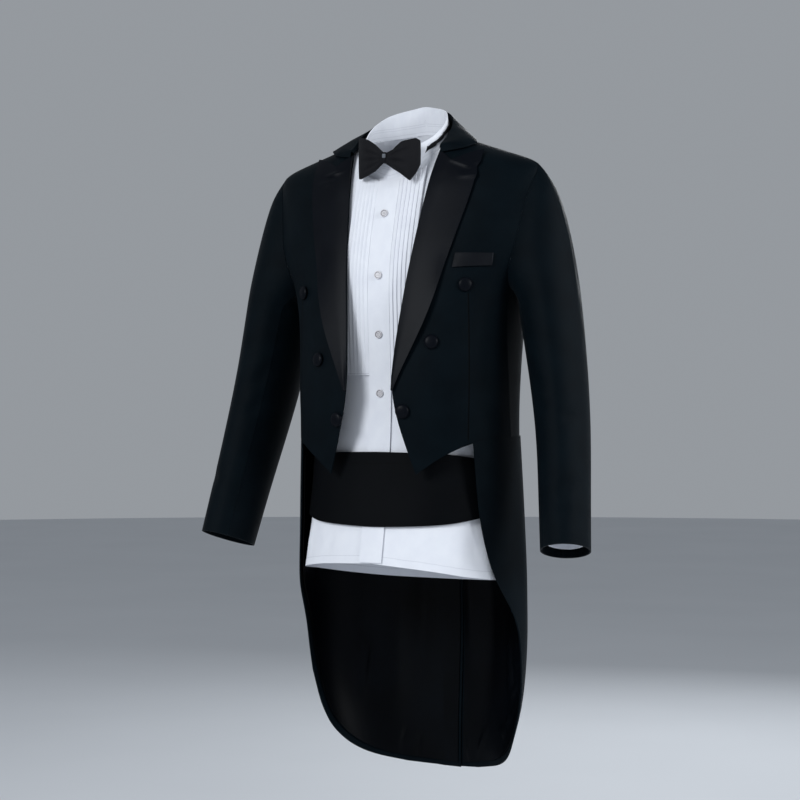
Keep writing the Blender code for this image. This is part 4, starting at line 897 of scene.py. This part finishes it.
# The coat's sleeves: each an upper and an under piece of the same wool, set into the
# armhole with a smooth cap and bent forward at the elbow.
SLEEVE_FOLDS = {
    "L": [
        Fold(9.0, -0.070, 9.0, -0.290, 0.0110, 0.0024, 0.0),
        Fold(-12.0, -0.070, -14.0, -0.290, 0.0120, -0.0036, 0.0),
        Fold(40.0, -0.425, 70.0, -0.450, 0.0100, -0.0020, 0.004),
        Fold(40.0, -0.520, 80.0, -0.560, 0.0110, -0.0026, 0.005),
        Fold(50.0, -0.560, 88.0, -0.590, 0.0100, -0.0022, 0.004),
        Fold(120.0, -0.360, 85.0, -0.400, 0.0110, -0.0028, 0.004),
        Fold(125.0, -0.400, 80.0, -0.430, 0.0100, -0.0022, 0.003),
        Fold(-100.0, -0.300, -140.0, -0.360, 0.0130, -0.0026, 0.004),
        Fold(-60.0, -0.560, -100.0, -0.600, 0.0110, -0.0022, 0.003),
    ],
    "R": [
        Fold(8.0, -0.080, 9.0, -0.280, 0.0110, 0.0022, 0.0),
        Fold(-13.0, -0.080, -12.0, -0.300, 0.0120, -0.0034, 0.0),
        Fold(45.0, -0.520, 78.0, -0.555, 0.0110, -0.0026, 0.004),
        Fold(52.0, -0.565, 90.0, -0.590, 0.0100, -0.0022, 0.004),
        Fold(118.0, -0.350, 84.0, -0.395, 0.0120, -0.0028, 0.004),
        Fold(126.0, -0.405, 82.0, -0.440, 0.0100, -0.0022, 0.003),
        Fold(-95.0, -0.310, -138.0, -0.370, 0.0130, -0.0026, 0.004),
        Fold(-62.0, -0.550, -104.0, -0.595, 0.0110, -0.0022, 0.003),
    ],
}
# The sleeve closes in to the armhole's seam above this height, over this stretch
ARM_CLOSES_ABOVE = -0.45
ARM_CLOSES_OVER = 0.10
for mark, arm in ARMS.items():
    upper, under = "sleeve_upper_" + mark, "sleeve_under_" + mark
    cuts = {
        upper: Cut(0.270, 0.600, 0.121, "hung", ("coat_front_" + mark, "coat_back_" + mark)),
        under: Cut(0.125, 0.495, 0.0465, "hung", (upper,)),
    }
    for node, cut in cuts.items():
        piece = cloth_wall(node, COAT_ROUNDS)
        press(piece, SLEEVE_FOLDS[mark], arm)
        places = points_of(piece)
        inward = -SEAM_CLOSED if mark == "L" else SEAM_CLOSED
        share = np.clip((places[:, 2] - ARM_CLOSES_ABOVE) / ARM_CLOSES_OVER, 0.0, 1.0)
        places[:, 0] += inward * share
        move_points(piece, places)
        lay_out(piece, arm)
        wear(piece, wool, node)


# The coat's collar: wool like the body, standing round the neck and turned down onto
# the shoulders as far as the gorge.
# It stands this much higher at its sides than its solid, between these turns from the front
COLLAR_RISE = 0.0085
RISE_TURNS = (55.0, 100.0)
piece = cloth_wall("coat_collar", COAT_ROUNDS)
note_edge(piece, BODY)
places = points_of(piece)
above = np.empty(len(places), dtype=np.float32)
piece.data.attributes["above_edge"].data.foreach_get("value", above)
turn = np.degrees(np.abs(np.arctan2(places[:, 0], -places[:, 1])))
sideways = np.clip((turn - RISE_TURNS[0]) / (RISE_TURNS[1] - RISE_TURNS[0]), 0.0, 1.0)
places[:, 2] += COLLAR_RISE * sideways * np.clip(above / above.max(), 0.0, 1.0) ** 2
move_points(piece, places)
lay_out(piece, BODY)
wear(piece, wool, "coat_collar")


# The peak lapels and the breast welt, faced with black satin. The lapels roll softly off
# the chest and wrinkle a little under the gorge.
FACING_BLACK = (0.0024, 0.0034, 0.0058)
FACING_DEEP = (0.0017, 0.0025, 0.0044)
LAPEL_ROUNDS = 4
WELT_ROUNDS = 3
LAPEL_FOLDS = [
    Fold(54.0, -0.0400, 68.0, -0.0620, 0.0038, 0.0032, 0.0010),
    Fold(58.0, -0.0660, 75.0, -0.0500, 0.0036, -0.0030, 0.0010),
    Fold(56.0, -0.0720, 72.0, -0.0690, 0.0040, 0.0026, 0.0010),
    Fold(64.0, -0.0500, 76.0, -0.0440, 0.0030, 0.0014, 0.0),
    Fold(-48.0, -0.0500, -64.0, -0.0620, 0.0038, 0.0030, 0.0010),
    Fold(-50.0, -0.0660, -68.0, -0.0580, 0.0036, -0.0028, 0.0010),
    Fold(-52.0, -0.0720, -64.0, -0.0700, 0.0040, 0.0014, 0.0010),
    Fold(50.0, -0.1700, 42.0, -0.2600, 0.0140, -0.0014, 0.002),
    Fold(-48.0, -0.1500, -42.0, -0.2500, 0.0140, -0.0014, 0.002),
]
facing_satin = woven("black_facing_satin", FACING_BLACK, FACING_DEEP, roughness=0.38,
                     gloss=0.062, sheen=0.0, thread=0.0004, relief=0.15, slub=0.05)
# The welt is caught down by a short row of stitches at its outer end
WELT_BLACK = (0.0052, 0.0062, 0.0085)
WELT_DEEP = (0.0034, 0.0042, 0.0060)
WELT_THREAD = (0.030, 0.033, 0.038)
WELT_END = 0.1960
WELT_HEIGHTS = (-0.40, 0.0)
plain_satin = woven("black_welt_satin", WELT_BLACK, WELT_DEEP, roughness=0.34,
                    gloss=0.12, sheen=0.0, thread=0.0004, relief=0.15, slub=0.02)
welt_satin = sew(plain_satin, "stitched_welt_satin", WELT_THREAD,
                 [Stitch("around", WELT_END, *WELT_HEIGHTS, 0.0006, 0.9, 0.0018)])
FACING_CUTS = {
    "lapel_L": Cut(0.075, 0.375, 0.0203, "folded", ("coat_front_L",)),
    "lapel_R": Cut(0.075, 0.375, 0.0203, "folded", ("coat_front_R",)),
    "breast_welt": Cut(0.060, 0.024, None, "laid", ("coat_front_L",)),
}
for node, cut in FACING_CUTS.items():
    welt = node == "breast_welt"
    piece = cloth_wall(node, WELT_ROUNDS if welt else LAPEL_ROUNDS)
    press(piece, COAT_FOLDS + LAPEL_FOLDS, BODY)
    lay_out(piece, BODY)
    wear(piece, welt_satin if welt else facing_satin, node)


# The coat's six buttons, covered in the facing's satin. They are sewn through the wool
# and close nothing.
COAT_BUTTON_RADIUS = 0.0110
COAT_BUTTON_SIDES = 32
# The dome from its foot up: the share of the radius, and the height above the cloth
DomeStep = namedtuple("DomeStep", "share height")
DOME_FOOT = DomeStep(0.94, 0.0010)
DOME_STEPS = [
    DomeStep(1.00, 0.0012),
    DomeStep(0.97, 0.0024),
    DomeStep(0.86, 0.0037),
    DomeStep(0.66, 0.0046),
    DomeStep(0.36, 0.0051),
    DomeStep(0.12, 0.0052),
]
FACES_UP = 0.9


def pick_top(blank):
    """Selects the upper face of a button's blank, and nothing else of it."""
    bpy.ops.object.mode_set(mode="EDIT")
    bpy.ops.mesh.select_mode(type="FACE")
    bpy.ops.mesh.select_all(action="DESELECT")
    bpy.ops.object.mode_set(mode="OBJECT")
    for face in blank.data.polygons:
        face.select = face.normal.z > FACES_UP


def placed_copy(pattern, node, name):
    """A copy of a button, turned and moved to where its solid is."""
    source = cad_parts[node].data
    places = np.array([corner.co for corner in source.vertices])
    middle = places.mean(axis=0)
    thinnest_first = np.linalg.eigh(np.cov((places - middle).T))[1]
    ahead = Vector(thinnest_first[:, 0])
    if ahead.y > 0.0:
        ahead.negate()
    depths = (places - middle) @ np.array(ahead)
    seat = Vector(middle) + ahead * float(depths.min())
    across = ahead.cross(Vector((0.0, 0.0, 1.0))).normalized()
    up = across.cross(ahead).normalized()
    turned = Matrix((across, up, ahead)).transposed().to_4x4()
    data = pattern.data.copy()
    data.name = name
    data.transform(Matrix.Translation(seat) @ turned)
    if turned.determinant() < 0.0:
        data.flip_normals()
    copy = bpy.data.objects.new(name, data)
    bpy.context.collection.objects.link(copy)
    return copy


bpy.ops.object.select_all(action="DESELECT")
bpy.ops.mesh.primitive_cylinder_add(vertices=COAT_BUTTON_SIDES,
                                    radius=COAT_BUTTON_RADIUS * DOME_FOOT.share,
                                    depth=DOME_FOOT.height,
                                    location=(0.0, 0.0, DOME_FOOT.height / 2.0))
pattern = bpy.context.active_object
pick_top(pattern)
below = DOME_FOOT
for step in DOME_STEPS:
    rise, narrowing = step.height - below.height, step.share / below.share
    bpy.ops.object.mode_set(mode="EDIT")
    bpy.ops.mesh.extrude_region_move(TRANSFORM_OT_translate={"value": (0.0, 0.0, rise)})
    bpy.ops.transform.resize(value=(narrowing, narrowing, 1.0))
    bpy.ops.object.mode_set(mode="OBJECT")
    below = step
pattern.data.shade_smooth()
bpy.ops.object.transform_apply(location=True, rotation=True, scale=True)
for mark in ("L", "R"):
    for number in (1, 2, 3):
        node = "coat_button_%s%d" % (mark, number)
        piece = placed_copy(pattern, node, node + "_covered")
        piece.data.uv_layers[0].name = "cloth"
        wear(piece, facing_satin, node)
bpy.data.objects.remove(pattern)


# The shirt's four buttons: small pearl discs with a raised rim and four holes, sewn to
# the placket. The four holes and the groove inside the rim are drawn in painted shade.
SHIRT_BUTTON_RADIUS = 0.0059
SHIRT_BUTTON_THICK = 0.0022
SHIRT_BUTTON_SIDES = 48
# The rim as three insets of the upper face: how far in, and how far up or down
RIM_INSETS = [(0.0003, 0.0002), (0.0011, 0.0), (0.0004, -0.0006)]
HOLE_SPREAD = 0.0011
HOLE_RADIUS = 0.00055
RIM_RADIUS = 0.0043
RIM_HALF_WIDTH = 0.00045
# Painted shade: the grey in the groove inside the rim and in the four holes
PAINTED_GROOVE_AND_HOLE_SHADE = (0.16, 0.16, 0.18)
PEARL_DEEP = (0.50, 0.48, 0.50, 1.0)
PEARL_LIGHT = (0.78, 0.76, 0.78, 1.0)
PEARL_ROUGHNESS = 0.25
PEARL_POLISH = 0.4
SWIRL_SCALE = 240.0
bpy.ops.object.select_all(action="DESELECT")
bpy.ops.mesh.primitive_cylinder_add(vertices=SHIRT_BUTTON_SIDES, radius=SHIRT_BUTTON_RADIUS,
                                    depth=SHIRT_BUTTON_THICK,
                                    location=(0.0, 0.0, SHIRT_BUTTON_THICK / 2.0))
pattern = bpy.context.active_object
pick_top(pattern)
bpy.ops.object.mode_set(mode="EDIT")
for inward, upward in RIM_INSETS:
    bpy.ops.mesh.inset(thickness=inward, depth=upward)
bpy.ops.object.mode_set(mode="OBJECT")
pattern.data.uv_layers[0].name = "shell"
for corner in pattern.data.loops:
    spot = pattern.data.vertices[corner.vertex_index].co
    pattern.data.uv_layers["shell"].data[corner.index].uv = (spot.x, spot.y)
pearl = bpy.data.materials.new("pearl_shell")
pearl.use_nodes = True
nodes, links = pearl.node_tree.nodes, pearl.node_tree.links
surface = nodes["Principled BSDF"]
surface.inputs["Roughness"].default_value = PEARL_ROUGHNESS
surface.inputs["Coat Weight"].default_value = PEARL_POLISH
where = nodes.new("ShaderNodeTexCoord")
swirl = nodes.new("ShaderNodeTexNoise")
swirl.inputs["Scale"].default_value = SWIRL_SCALE
tint = nodes.new("ShaderNodeValToRGB")
tint.color_ramp.elements[0].color = PEARL_DEEP
tint.color_ramp.elements[1].color = PEARL_LIGHT
links.new(where.outputs["Object"], swirl.inputs["Vector"])
links.new(swirl.outputs["Fac"], tint.inputs["Fac"])
disc = nodes.new("ShaderNodeUVMap")
disc.uv_map = "shell"
quarter = nodes.new("ShaderNodeVectorMath")
quarter.operation = "ABSOLUTE"
from_hole = nodes.new("ShaderNodeVectorMath")
from_hole.operation = "DISTANCE"
from_hole.inputs[1].default_value = (HOLE_SPREAD, HOLE_SPREAD, 0.0)
links.new(disc.outputs["UV"], quarter.inputs[0])
links.new(quarter.outputs["Vector"], from_hole.inputs[0])
hole = nodes.new("ShaderNodeMath")
hole.operation = "LESS_THAN"
hole.inputs[1].default_value = HOLE_RADIUS
links.new(from_hole.outputs["Value"], hole.inputs[0])
from_middle = nodes.new("ShaderNodeVectorMath")
from_middle.operation = "LENGTH"
links.new(disc.outputs["UV"], from_middle.inputs[0])
rim = nodes.new("ShaderNodeMath")
rim.operation = "COMPARE"
rim.inputs[1].default_value = RIM_RADIUS
rim.inputs[2].default_value = RIM_HALF_WIDTH
links.new(from_middle.outputs["Value"], rim.inputs[0])
# The groove and the holes are painted with shade
painted_shade_mask = nodes.new("ShaderNodeMath")
painted_shade_mask.operation = "MAXIMUM"
links.new(hole.outputs["Value"], painted_shade_mask.inputs[0])
links.new(rim.outputs["Value"], painted_shade_mask.inputs[1])
draw_over(pearl.node_tree, tint.outputs["Color"], painted_shade_mask.outputs["Value"], PAINTED_GROOVE_AND_HOLE_SHADE)
bpy.ops.object.transform_apply(location=True, rotation=True, scale=True)
for number in (1, 2, 3, 4):
    node = "shirt_button_%d" % number
    piece = placed_copy(pattern, node, node + "_pearl")
    wear(piece, pearl, node)
bpy.data.objects.remove(pattern)
